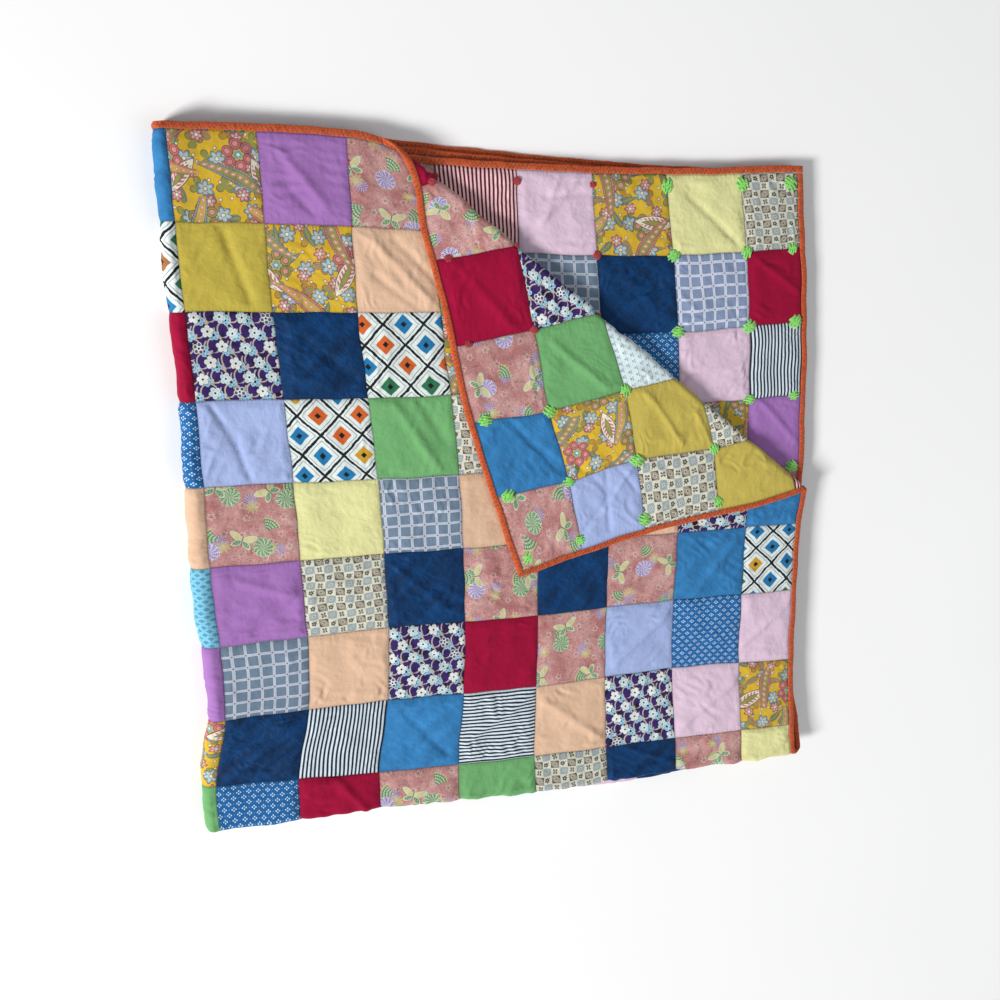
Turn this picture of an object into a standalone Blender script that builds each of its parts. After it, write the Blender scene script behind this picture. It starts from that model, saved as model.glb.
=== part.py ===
"""A patchwork quilt folded in quarters, with its near corner of the top layer turned back.

The quilt is one padded cloth, modelled flat and then folded: once along the bottom, once along the left,
and the corner that this leaves on top is turned back over a diagonal. A point of the cloth is known by its
place on the flat quilt (across, up, both from the quilt's middle) and by its depth in the cloth, and
fold_points() says where that point lies in the folded pack. The binding and the yarn ties use it too.
Units are metres, +Z is up and the pack rests on Z = 0.
"""

import math

import bmesh
import bpy
import numpy as np

# The cloth and its patches
PATCH = 0.127               # one square patch, seam to seam
COLUMNS = 8                 # whole columns on each side of the first seam beside the left fold
ROWS_TO_FOLD = 8.5          # rows from the top edge down to the bottom fold
LAST_COLUMN = 0.096         # the narrower column beside the binding on the open side
THICKNESS = 0.0045          # the quilted cloth, halfway up a patch
CROWN = 0.0015              # how far a patch stands proud of that at its middle, each face
VALLEY = 0.0008             # how far a seam lies below it, each face
SHOULDER = 0.2              # where a patch reaches its full height, as a share of a patch

# The folded pack
PITCH = 0.010               # from one layer's middle to the next one's
ARC_STEPS = 2               # straight steps in a quarter of the tightest fold
ROLL_RADIUS = 0.0055        # middle of the cloth at the turned-back corner's fold
ROLL_STEPS = 5              # straight steps around that fold
FOLD_START = (0.335, -0.034)   # the turned-back corner's fold, seen from above: where it leaves the top edge
FOLD_END = (1.000, -0.581)     # and where it reaches the open side
BULGE = 0.22                # extra height of the stack beside the two long folds
BULGE_REACH = 0.055
SETTLE = 0.12               # lost height along the open edges
SETTLE_REACH = 0.060

# The binding
BINDING_WIDTH = 0.011
BINDING_EDGE = 0.7          # share of its thickness beside the cloth that is left at its outer edge
CLEAR = 0.0003              # the gap between two pieces that touch

# The yarn ties
TIE_INSET = 0.006           # a tie beside the binding sits this far in from it
TIE_KNOT = (0.0052, 0.0046, 0.0028)   # half sizes of the knot
TIE_TAIL = 0.0125           # length of a loose end
TIE_SPREAD = (0.55, 0.42)   # how wide the first and the last part of a loose end are, against the knot's face
TIE_DROOP = 0.12            # how far each part of a loose end sinks, as a share of the knot's half height
TIE_LIFT = 0.0013           # knot clear of the seam valley under it
TIE_TURNS = (20.0, -35.0, 70.0, 5.0, -60.0, 40.0, 100.0)   # the ways the ties point, in turn, in degrees
FIRST_TIED_COLUMN = 3
FIRST_GREEN_COLUMN = 6      # red yarn holds the columns before this one

# Where a seam really lies, against an even grid, in millimetres. Each row is a seam row, from the top edge of
# the front over the bottom fold to the top edge of the back. The columns are seams: the far edge of the two
# hidden layers, the middle of their outer half, then seams 0, 2, 4, 6 and 8 of the open half.
SEAM_COLUMNS = (-0.984, -0.750, 0.0319, 0.2859, 0.5399, 0.7939, 1.0169)
ACROSS_DRIFT = {
    # row on the flat quilt: edge, outer, seam 0, seam 2, seam 4, seam 6, seam 8
    8.5: (-12, 0, -6, -8, -14, -10, 12),
    6.5: (0, 0, 0, -6, -9, -6, -1),
    4.5: (0, 0, 6, 11, 13, 0, 5),
    3.5: (0, 0, 5, 15, 13, 1, -10),
    1.5: (0, 0, 4, 8, 7, -4, -9),
    0.5: (-10, -10, -23, -12, 1, 5, -2),
    0.0: (-10, -10, -26, -14, 3, 5, 2),
    -1.5: (-5, -5, 7, 0, 0, -5, -22),
    -4.5: (-10, 0, 9, -5, -10, -12, -17),
    -6.5: (-15, 0, 4, -10, -22, -17, -24),
    -8.5: (-30, -15, -2, -20, -27, -43, -46),
}
UP_DRIFT = {
    8.5: (-66, -55, 4, -6, -30, -32, -58),
    6.5: (-40, -20, 9, -1, -8, -22, -20),
    4.5: (-20, -8, 2, -4, -6, -12, -36),
    3.5: (-10, -4, 2, 0, -1, -3, -4),
    1.5: (0, -5, -1, 2, -2, 6, -3),
    0.5: (-2, -12, 13, 1, -4, -2, -4),
    0.0: (-5, -25, -10, -5, -13, -2, 0),
    -1.5: (-2, -10, 0, 0, -6, -8, -8),
    -4.5: (-20, -15, 0, -10, -25, -30, -31),
    -6.5: (-45, -40, -5, -20, -40, -49, -39),
    -8.5: (-70, -62, -14, -33, -46, -54, -55),
}

# Broad troughs (below 0) and ridges in the top of the pack: from (x, y), to (x, y), height and half width
CREASES = (
    ((0.02, -0.13), (0.24, -0.26), -0.0022, 0.040),
    ((0.08, -0.42), (0.26, -0.62), -0.0020, 0.045),
    ((0.10, -0.98), (0.46, -0.74), 0.0024, 0.045),
    ((0.58, -0.96), (0.90, -0.76), 0.0022, 0.045),
    ((0.02, -0.84), (0.30, -0.88), -0.0020, 0.040),
)

FRONT_SHEET = (0.72, 0.62, 0.52)
BINDING_ORANGE = (0.68, 0.10, 0.02)
YARN_GREEN = (0.22, 0.72, 0.08)
YARN_RED = (0.55, 0.02, 0.03)

# Worked out from the sizes above
QUARTER = math.pi / 2
INNER_ARC = QUARTER * PITCH / 2          # quarter of a hairpin, measured along the cloth's middle
OUTER_ARC = QUARTER * PITCH * 1.5
LEFT_AXIS = -0.0083                      # the left fold's axis, against seam 0 on the top layer
SEAM_0 = OUTER_ARC - LEFT_AXIS           # seam 0, on the flat quilt
OPEN_EDGE = SEAM_0 + (COLUMNS - 1) * PATCH + LAST_COLUMN
HIDDEN_EDGE = SEAM_0 - COLUMNS * PATCH
TOP_EDGE = ROWS_TO_FOLD * PATCH
SEAM_HALF = THICKNESS / 2 - VALLEY       # half the cloth's thickness on a seam and at its rim
STACK_TOP = PITCH * 1.5 + THICKNESS / 2  # above and below the pack's middle layer gap
FOLD_ALONG = np.subtract(FOLD_END, FOLD_START) / np.linalg.norm(np.subtract(FOLD_END, FOLD_START))
FOLD_ACROSS = np.array((-FOLD_ALONG[1], FOLD_ALONG[0]))
ROLL_START = np.array(FOLD_START) - (ROLL_RADIUS + THICKNESS / 2) * FOLD_ACROSS
ROLL_LENGTH = math.pi * ROLL_RADIUS


def smooth_table(stations, rows, place):
    """Reads a smooth curve through each column of rows at its place; rows may be one value a station or many."""
    slopes = np.gradient(rows, stations, axis=0)
    place = np.clip(place, stations[0], stations[-1])
    low = np.clip(np.searchsorted(stations, place) - 1, 0, len(stations) - 2)
    step = stations[low + 1] - stations[low]
    t = (place - stations[low]) / step
    pick = (low,) if rows.ndim == 1 else (low, np.arange(len(place)))
    after = (low + 1,) if rows.ndim == 1 else (low + 1, np.arange(len(place)))
    return ((2 * t**3 - 3 * t**2 + 1) * rows[pick] + (t**3 - 2 * t**2 + t) * step * slopes[pick]
            + (3 * t**2 - 2 * t**3) * rows[after] + (t**3 - t**2) * step * slopes[after])


def drift(table, across, up):
    """How far a point of the flat quilt lies off the even grid, in metres."""
    keys = sorted(table)
    stations = np.array(SEAM_COLUMNS)
    rows = np.array([smooth_table(stations, np.array(table[key], float), across) for key in keys])
    return smooth_table(np.array(keys) * PATCH, rows, up) / 1000


def stack_height(x, y):
    """The factor by which the pack stands higher or lower than its even stack."""
    left = np.exp(-np.maximum(x - LEFT_AXIS, 0) / BULGE_REACH)
    bottom = np.exp(-np.maximum(y + TOP_EDGE, 0) / BULGE_REACH)
    right = np.exp(-np.maximum(OPEN_EDGE - SEAM_0 - x, 0) / SETTLE_REACH)
    top = np.exp(-np.maximum(-y, 0) / SETTLE_REACH)
    height = 1 + BULGE * np.maximum(left, bottom) - SETTLE * np.maximum(right, top) * (1 - np.maximum(left, bottom))
    for start, end, rise, reach in CREASES:
        run = np.subtract(end, start)
        length = np.linalg.norm(run)
        along = ((x - start[0]) * run[0] + (y - start[1]) * run[1]) / length
        aside = ((y - start[1]) * run[0] - (x - start[0]) * run[1]) / length
        beyond = np.maximum(np.maximum(-along, along - length), 0)
        height = height + rise / (2 * STACK_TOP) * np.exp(-(aside**2 + beyond**2) / reach**2)
    return height


def flat_places(across, up):
    """Where points of the flat quilt lie on the plane of the top layer, before any fold."""
    x = LEFT_AXIS + across - OUTER_ARC + drift(ACROSS_DRIFT, across, up)
    y = up - TOP_EDGE + drift(UP_DRIFT, across, up)
    return x, y


def past_fold(x, y):
    """How far places on the top layer's plane lie past the start of the turned-back corner's roll."""
    return (x - ROLL_START[0]) * FOLD_ACROSS[0] + (y - ROLL_START[1]) * FOLD_ACROSS[1]


def fold_points(across, up, depth):
    """Folds points of the flat quilt; depth is above the cloth's middle, towards its front face."""
    across, up, depth = np.broadcast_arrays(*(np.asarray(value, float) for value in (across, up, depth)))
    half = PITCH / 2

    # The bottom fold: a hairpin about the middle between the two faces that meet
    turn = np.clip(up / half, -QUARTER, QUARTER)
    lift = (half + depth) * np.sin(turn)
    y = -(half + depth) * np.cos(turn) + np.maximum(np.abs(up) - INNER_ARC, 0)

    # The left fold, which wraps the pair of layers around itself
    radius = PITCH + half * np.sin(turn)
    bend = np.clip(across / radius, -QUARTER, QUARTER)
    rim = PITCH + lift
    x = -rim * np.cos(bend) + np.maximum(np.abs(across) - QUARTER * radius, 0)
    z = rim * np.sin(bend)

    x = x + LEFT_AXIS + drift(ACROSS_DRIFT, across, up)
    y = y + INNER_ARC - TOP_EDGE + drift(UP_DRIFT, across, up)

    # The corner that is turned back over the top layer
    flat_x, flat_y = flat_places(across, up)
    past = np.where((across > OUTER_ARC) & (up > INNER_ARC), past_fold(flat_x, flat_y), -1.0)
    roll = np.clip(past / ROLL_RADIUS, 0, math.pi)
    reach = (ROLL_RADIUS - depth) * np.sin(roll) - np.maximum(past - ROLL_LENGTH, 0)
    turned = past > 0
    x = np.where(turned, flat_x + (reach - past) * FOLD_ACROSS[0], x)
    y = np.where(turned, flat_y + (reach - past) * FOLD_ACROSS[1], y)
    z = np.where(turned, PITCH * 1.5 + ROLL_RADIUS - (ROLL_RADIUS - depth) * np.cos(roll), z)

    z = (z + STACK_TOP) * stack_height(x, y)
    return np.stack((x, y, z), axis=-1)


def patch_swell(across, up):
    """The height of a patch's padding over its seams: 0 on a seam and 1 on the patch's flat middle."""
    in_column = np.mod(across - SEAM_0, PATCH) / PATCH
    in_row = np.mod(up - TOP_EDGE, PATCH) / PATCH
    last = across > SEAM_0 + (COLUMNS - 1) * PATCH
    in_column = np.where(last, (across - OPEN_EDGE + LAST_COLUMN) / LAST_COLUMN, in_column)
    share = np.minimum(np.minimum(in_column, 1 - in_column), np.minimum(in_row, 1 - in_row)) / SHOULDER
    return np.sin(np.clip(share, 0, 1) * QUARTER)


def face_depth(across, up, front):
    """How far the cloth's front or back face lies from its middle: flat on the floor, pressed at the corner."""
    pressed = np.clip(np.hypot(across, up) / PATCH, 0, 1)
    depth = SEAM_HALF + (VALLEY + CROWN) * patch_swell(across, up) * pressed
    if front:
        inside = np.minimum(across - HIDDEN_EDGE, TOP_EDGE - up) > CLEAR
        on_floor = (across < 0) & (up > 0) & inside
        return np.where(on_floor, THICKNESS / 2, depth)
    return -depth


def seam_lines(start, seams, width, shares):
    """Grid lines at the seams, and at shares of each patch between them."""
    return [start + (count + share) * width for count in range(seams) for share in shares]


def grid_lines():
    """The lines of the flat cloth's grid, across and up: finer on the open half, closer at the folds."""
    arc = [INNER_ARC * step / ARC_STEPS for step in range(-ARC_STEPS, ARC_STEPS + 1)]
    wrap = [-OUTER_ARC, -OUTER_ARC * 2 / 3, OUTER_ARC * 2 / 3, OUTER_ARC]
    fine = (0, SHOULDER, 1 - SHOULDER)
    open_half = seam_lines(SEAM_0, COLUMNS - 1, PATCH, fine)
    open_half += seam_lines(OPEN_EDGE - LAST_COLUMN, 1, LAST_COLUMN, fine) + [OPEN_EDGE]
    hidden = [HIDDEN_EDGE + count * PATCH for count in range(COLUMNS)]
    across = hidden + wrap[:2] + arc + wrap[2:] + open_half

    rows = int(ROWS_TO_FOLD)
    front = [TOP_EDGE - line for line in seam_lines(0, rows, PATCH, fine)] + [PATCH / 2]
    back = [line - TOP_EDGE for line in seam_lines(0, rows, PATCH, (0, 0.5))] + [-PATCH / 2]
    up = front + [PATCH * SHOULDER, -PATCH * SHOULDER] + arc + back
    return np.array(sorted(across)), np.array(sorted(up))


def flat_sheet(lines_across, lines_up):
    """A flat piece of the quilt as one layer of triangles, cut along the turned-back corner's roll.

    Returns each point's place across and up, the triangles, and the edges around the rim.
    """
    across, up = (grid.ravel() for grid in np.meshgrid(lines_across, lines_up, indexing="ij"))
    x, y = flat_places(across, up)
    mesh = bmesh.new()
    keep_across = mesh.verts.layers.float.new("across")
    keep_up = mesh.verts.layers.float.new("up")
    points = []
    for index in range(len(across)):
        point = mesh.verts.new((x[index], y[index], 0))
        point[keep_across] = across[index]
        point[keep_up] = up[index]
        points.append(point)
    tall = len(lines_up)
    for column in range(len(lines_across) - 1):
        for row in range(tall - 1):
            corner = column * tall + row
            mesh.faces.new([points[i] for i in (corner, corner + tall, corner + tall + 1, corner + 1)])
    for step in range(ROLL_STEPS + 1):
        place = ROLL_START + FOLD_ACROSS * ROLL_LENGTH * step / ROLL_STEPS
        parts = [face for face in mesh.faces
                 if min(min(point[keep_across], point[keep_up]) for point in face.verts) > OUTER_ARC - CLEAR]
        parts += list({edge for face in parts for edge in face.edges})
        parts += list({point for edge in parts if isinstance(edge, bmesh.types.BMEdge) for point in edge.verts})
        bmesh.ops.bisect_plane(mesh, geom=parts, dist=1e-5, plane_co=(*place, 0), plane_no=(*FOLD_ACROSS, 0))
    bmesh.ops.triangulate(mesh, faces=mesh.faces[:])
    mesh.verts.index_update()
    places = np.array([(point[keep_across], point[keep_up]) for point in mesh.verts])
    faces = [[point.index for point in face.verts] for face in mesh.faces]
    rim = []
    for edge in mesh.edges:
        if edge.is_boundary:
            loop = edge.link_loops[0]
            rim.append((loop.vert.index, loop.link_loop_next.vert.index))
    mesh.free()
    return places, faces, rim


def finish(name, mesh, material, parent):
    """Makes a bmesh an object with its material, under the quilt's empty."""
    data = bpy.data.meshes.new(name)
    mesh.to_mesh(data)
    mesh.free()
    data.materials.append(material)
    piece = bpy.data.objects.new(name, data)
    bpy.context.collection.objects.link(piece)
    piece.parent = parent
    return piece


def folded_solid(name, sheet, depth, material, parent):
    """A flat piece given its two faces at depth(across, up, front) and its rim, and folded."""
    places, faces, rim = sheet
    across, up = places.T
    front = fold_points(across, up, depth(across, up, True))
    back = fold_points(across, up, depth(across, up, False))
    mesh = bmesh.new()
    points = [mesh.verts.new(place) for place in np.concatenate((front, back))]
    under = len(front)
    for face in faces:
        mesh.faces.new([points[i] for i in face])
        mesh.faces.new([points[i + under] for i in reversed(face)])
    # Neighbouring rims are split along the same diagonal, so that they stay parallel around a fold
    for first, second in rim:
        if places[first].sum() < places[second].sum():
            halves = ((second, first, first + under), (second, first + under, second + under))
        else:
            halves = ((second, first, second + under), (first, first + under, second + under))
        for half in halves:
            mesh.faces.new([points[i] for i in half])
    return finish(name, mesh, material, parent)


def binding_depth(across, up, front):
    """The binding is thickest where it meets the cloth and rounds off to its outer edge."""
    outward = np.maximum(np.maximum(across - OPEN_EDGE, HIDDEN_EDGE - across), np.abs(up) - TOP_EDGE)
    depth = SEAM_HALF * (1 - (1 - BINDING_EDGE) * np.clip(outward / BINDING_WIDTH, 0, 1))
    return depth if front else -depth


def roll_begins(lines, place):
    """The last grid line before the turned-back corner's roll reaches the binding's outer edge."""
    past = past_fold(*flat_places(*place(lines)))
    return int(np.argmax(past > 0)) - 1


def binding(lines_across, lines_up, material, parent):
    """The binding, cut into strips so that each stays simple."""
    outer_top = TOP_EDGE + BINDING_WIDTH
    outer_side = OPEN_EDGE + BINDING_WIDTH
    top_band = np.array((TOP_EDGE + CLEAR, outer_top))
    back_band = -top_band[::-1]
    side_band = np.array((OPEN_EDGE + CLEAR, outer_side))
    hidden_band = np.array((HIDDEN_EDGE - BINDING_WIDTH, HIDDEN_EDGE - CLEAR))

    long_top = np.concatenate(((HIDDEN_EDGE - BINDING_WIDTH,), lines_across, (outer_side,)))
    start = roll_begins(long_top, lambda lines: (lines, np.full_like(lines, outer_top)))
    front_top, flap_top = long_top[:start + 1].copy(), long_top[start:]
    front_top[-1] -= CLEAR
    start = roll_begins(lines_up, lambda lines: (np.full_like(lines, outer_side), lines))
    front_side, flap_side = lines_up[:start + 1].copy(), lines_up[start:]
    front_side[-1] -= CLEAR
    table = (
        ("binding_top_outer", front_top, top_band),
        ("binding_flap_left", flap_top, top_band),
        ("binding_top_inner", long_top, back_band),
        ("binding_side_open", side_band, front_side),
        ("binding_flap_bottom", side_band, flap_side),
        ("binding_side_hidden", hidden_band, lines_up),
    )
    for name, across, up in table:
        folded_solid(name, flat_sheet(across, up), binding_depth, material, parent)


def tie_mesh(name, material):
    """A yarn tie: a flattened knot with a loose end drawn out of each side of it."""
    mesh = bmesh.new()
    bmesh.ops.create_uvsphere(mesh, u_segments=6, v_segments=4, radius=1)
    for side in (1, -1):
        low_faces = [face for face in mesh.faces if face.calc_center_median().z < 0]
        end = max(low_faces, key=lambda face: side * face.normal.x + face.normal.y)
        for share in TIE_SPREAD:
            moved = bmesh.ops.extrude_discrete_faces(mesh, faces=[end])["faces"][0]
            middle = moved.calc_center_median()
            for point in moved.verts:
                point.co = middle + (point.co - middle) * share
                point.co.x += side * TIE_TAIL / len(TIE_SPREAD) / TIE_KNOT[0]
                point.co.z -= TIE_DROOP
            end = moved
    for point in mesh.verts:
        point.co = (point.co.x * TIE_KNOT[0], point.co.y * TIE_KNOT[1], point.co.z * TIE_KNOT[2])
    bmesh.ops.triangulate(mesh, faces=mesh.faces[:])
    data = bpy.data.meshes.new(name)
    mesh.to_mesh(data)
    mesh.free()
    data.materials.append(material)
    return data


def tie_places():
    """Seam crossings where a tie shows: on the turned-back corner, and on the layer that it uncovers."""
    for side in (1, -1):
        for column in range(FIRST_TIED_COLUMN, COLUMNS + 1):
            across = SEAM_0 + column * PATCH if column < COLUMNS else OPEN_EDGE - TIE_INSET
            for row in range(int(ROWS_TO_FOLD)):
                up = side * (TOP_EDGE - max(row * PATCH, TIE_INSET))
                if side == 1:
                    x, y = flat_places(np.array([across]), np.array([up]))
                    shows = past_fold(x, y)[0] > ROLL_LENGTH + 2 * TIE_KNOT[0]
                else:
                    x, y, z = fold_points(np.array([across]), np.array([up]), 0.0)[0]
                    shows = past_fold(x, y) > 2 * (ROLL_RADIUS + TIE_KNOT[0])
                if shows:
                    yield column, across, up


def ties(green, red, parent):
    """The yarn ties: red on the columns nearer the fold, green on the rest."""
    meshes = {"green": tie_mesh("tie_green", green), "red": tie_mesh("tie_red", red)}
    for count, (column, across, up) in enumerate(tie_places()):
        colour = "green" if column >= FIRST_GREEN_COLUMN else "red"
        depth = face_depth(np.array([across]), np.array([up]), False)
        seat = fold_points(np.array([across]), np.array([up]), depth)[0]
        piece = bpy.data.objects.new(f"tie_{colour}_{count + 1:02d}", meshes[colour])
        bpy.context.collection.objects.link(piece)
        piece.location = (seat[0], seat[1], seat[2] + TIE_KNOT[2] + TIE_LIFT)
        piece.rotation_euler = (0, 0, math.radians(TIE_TURNS[count % len(TIE_TURNS)]))
        piece.parent = parent


def material(name, colour, roughness):
    """A plain cloth or yarn material."""
    finish_of = bpy.data.materials.new(name)
    finish_of.use_nodes = True
    shader = finish_of.node_tree.nodes["Principled BSDF"]
    shader.inputs["Base Color"].default_value = (*colour, 1)
    shader.inputs["Roughness"].default_value = roughness
    shader.inputs["Metallic"].default_value = 0
    return finish_of


def main():
    for old in list(bpy.data.objects):
        bpy.data.objects.remove(old)
    quilt = bpy.data.objects.new("quilt", None)
    bpy.context.collection.objects.link(quilt)
    lines_across, lines_up = grid_lines()
    cotton = material("patchwork_cotton", FRONT_SHEET, 0.85)
    folded_solid("quilt_cloth", flat_sheet(lines_across, lines_up), face_depth, cotton, quilt)
    binding(lines_across, lines_up, material("binding_cotton", BINDING_ORANGE, 0.75), quilt)
    ties(material("yarn_green", YARN_GREEN, 0.9), material("yarn_red", YARN_RED, 0.9), quilt)

    # The origin goes under the middle of the pack's box
    bpy.context.view_layer.update()
    corners = np.array([piece.matrix_world @ point.co
                        for piece in quilt.children for point in piece.data.vertices])
    middle = (corners.min(axis=0) + corners.max(axis=0)) / 2
    quilt.location = (-middle[0], -middle[1], 0)


main()
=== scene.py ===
"""Dresses the folded patchwork quilt: printed patches, orange binding with its zigzag stitches, and yarn ties.

A point of the cloth is known by its place on the flat quilt (across and up, in metres from the quilt's middle)
and by its depth in the cloth. QuiltFold folds such points into the pack the way the solids are folded, and
ClothRelief says how far each face stands out: padding, puckers beside the seams, wrinkles and creases.
"""
import logging
import math
from dataclasses import dataclass, field
from enum import Enum

import bpy
import numpy as np
from mathutils import Matrix, Vector


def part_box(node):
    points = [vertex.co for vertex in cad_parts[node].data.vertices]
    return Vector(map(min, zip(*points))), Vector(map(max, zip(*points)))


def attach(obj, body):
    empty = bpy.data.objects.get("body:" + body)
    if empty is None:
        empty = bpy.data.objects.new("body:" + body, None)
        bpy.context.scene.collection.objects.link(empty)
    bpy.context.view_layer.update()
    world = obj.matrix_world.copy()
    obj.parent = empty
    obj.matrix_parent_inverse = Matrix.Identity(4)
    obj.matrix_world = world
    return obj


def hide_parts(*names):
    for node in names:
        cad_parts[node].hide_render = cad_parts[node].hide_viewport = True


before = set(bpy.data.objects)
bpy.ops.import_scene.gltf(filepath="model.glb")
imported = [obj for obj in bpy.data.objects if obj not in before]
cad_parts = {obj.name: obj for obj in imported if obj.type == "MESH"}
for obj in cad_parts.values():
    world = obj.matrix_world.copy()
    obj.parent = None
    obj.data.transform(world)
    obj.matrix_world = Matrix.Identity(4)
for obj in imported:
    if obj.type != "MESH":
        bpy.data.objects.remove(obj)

LOG = logging.getLogger("quilt")
QUARTER = math.pi / 2
Colour = tuple[float, float, float]
Pair = tuple[float, float]
Table = tuple[tuple[float, ...], ...]
Array = np.ndarray
# One square patch, from seam to seam
PATCH = 0.127


class Side(Enum):
    """The two faces of the quilt."""

    FRONT = "front"
    BACK = "back"


class Fabric(Enum):
    """The cottons that the patches are cut from, by their two-letter names in the charts."""

    PAISLEY = "pa"
    BATIK = "ba"
    BLOSSOM = "bl"
    FOULARD = "fo"
    CHECK = "ch"
    CHECK_BLUE = "cb"
    LATTICE = "la"
    STRIPE_NAVY = "sn"
    STRIPE_RED = "sr"
    DOTS_BLUE = "db"
    CALICO = "ca"
    TURQUOISE = "tu"
    PURPLE = "pu"
    MUSTARD = "mu"
    GOLD = "go"
    PEACH = "pe"
    NAVY = "na"
    LILAC = "li"
    GREEN = "gr"
    LEMON = "le"
    RED = "re"
    PINK = "pi"
    BLUE = "bu"


# The patches of each face, row by row from the quilt's top edge down, over the bottom fold and up the layer behind.
# The first chart's columns: the one that wraps around the left fold, then the eight of the top layer.
# A dot is a patch that nothing shows; a following v turns the print by a quarter.
FRONT_TOP = (
    "bu pa pu ba . . . . .",
    "la mu pa pe . . . . .",
    "re bl na la pa . . . .",
    "db li la gr fo . . . .",
    "pe ba le ch pe . pe bl bu",
    "tu pu fo na ba na ba bu la",
    "pu ch pe bl re ba li db pi",
    "pa na snv bu sn pe bl pi pa",
    "gr db re ba gr fo na ba le",
)
# The lower hairpin's patches, columns -8 to -2 of the row on the bottom fold
FOLD_ROW_BELOW = "ba na pi bu re gr db"
# The back face on the corner that is turned back: columns 3 to 8, from the top edge down
BACK_CORNER = (
    "re ba re bav bu ba",
    ". . bl gr pav li",
    ". . . ca go fo",
    ". . . . fo go",
)
# The back face on the layer that this uncovers: columns 3 to 8, from its own top edge down
BACK_UNDER = (
    "ba srv pi pa le fo",
    ". . ch na cb re",
    ". . . db pi snv",
    ". . . . pa pu",
    ". . . . . ba",
)


def lattice_noise(x: Array, y: Array, seed: float) -> Array:
    """Smooth noise of about one bump a unit.

    Args:
        x: Places along the first direction.
        y: Places along the second direction.
        seed: Any number; the same one always gives the same noise.

    Returns:
        Values between about -1 and 1.
    """
    column, row = np.floor(x), np.floor(y)
    in_column, in_row = x - column, y - row
    total = np.zeros(np.broadcast(x, y).shape)
    for right in (0, 1):
        for above in (0, 1):
            mixed = np.sin((column + right) * 127.1 + (row + above) * 311.7 + seed * 74.7) * 43758.5453
            turn = (mixed - np.floor(mixed)) * 2 * math.pi
            slope = np.cos(turn) * (in_column - right) + np.sin(turn) * (in_row - above)
            weight = ease(in_column if right else 1 - in_column) * ease(in_row if above else 1 - in_row)
            total += slope * weight
    return total * 1.5


def ease(share: Array) -> Array:
    """A share from 0 to 1 that starts and ends gently."""
    share = np.clip(share, 0, 1)
    return share * share * share * (share * (share * 6 - 15) + 10)


def linear(red: int, green: int, blue: int) -> Colour:
    """The linear colour of a display colour whose channels run from 0 to 255."""
    shares = (value / 255 for value in (red, green, blue))
    return tuple(share / 12.92 if share <= 0.04045 else ((share + 0.055) / 1.055) ** 2.4 for share in shares)


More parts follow.
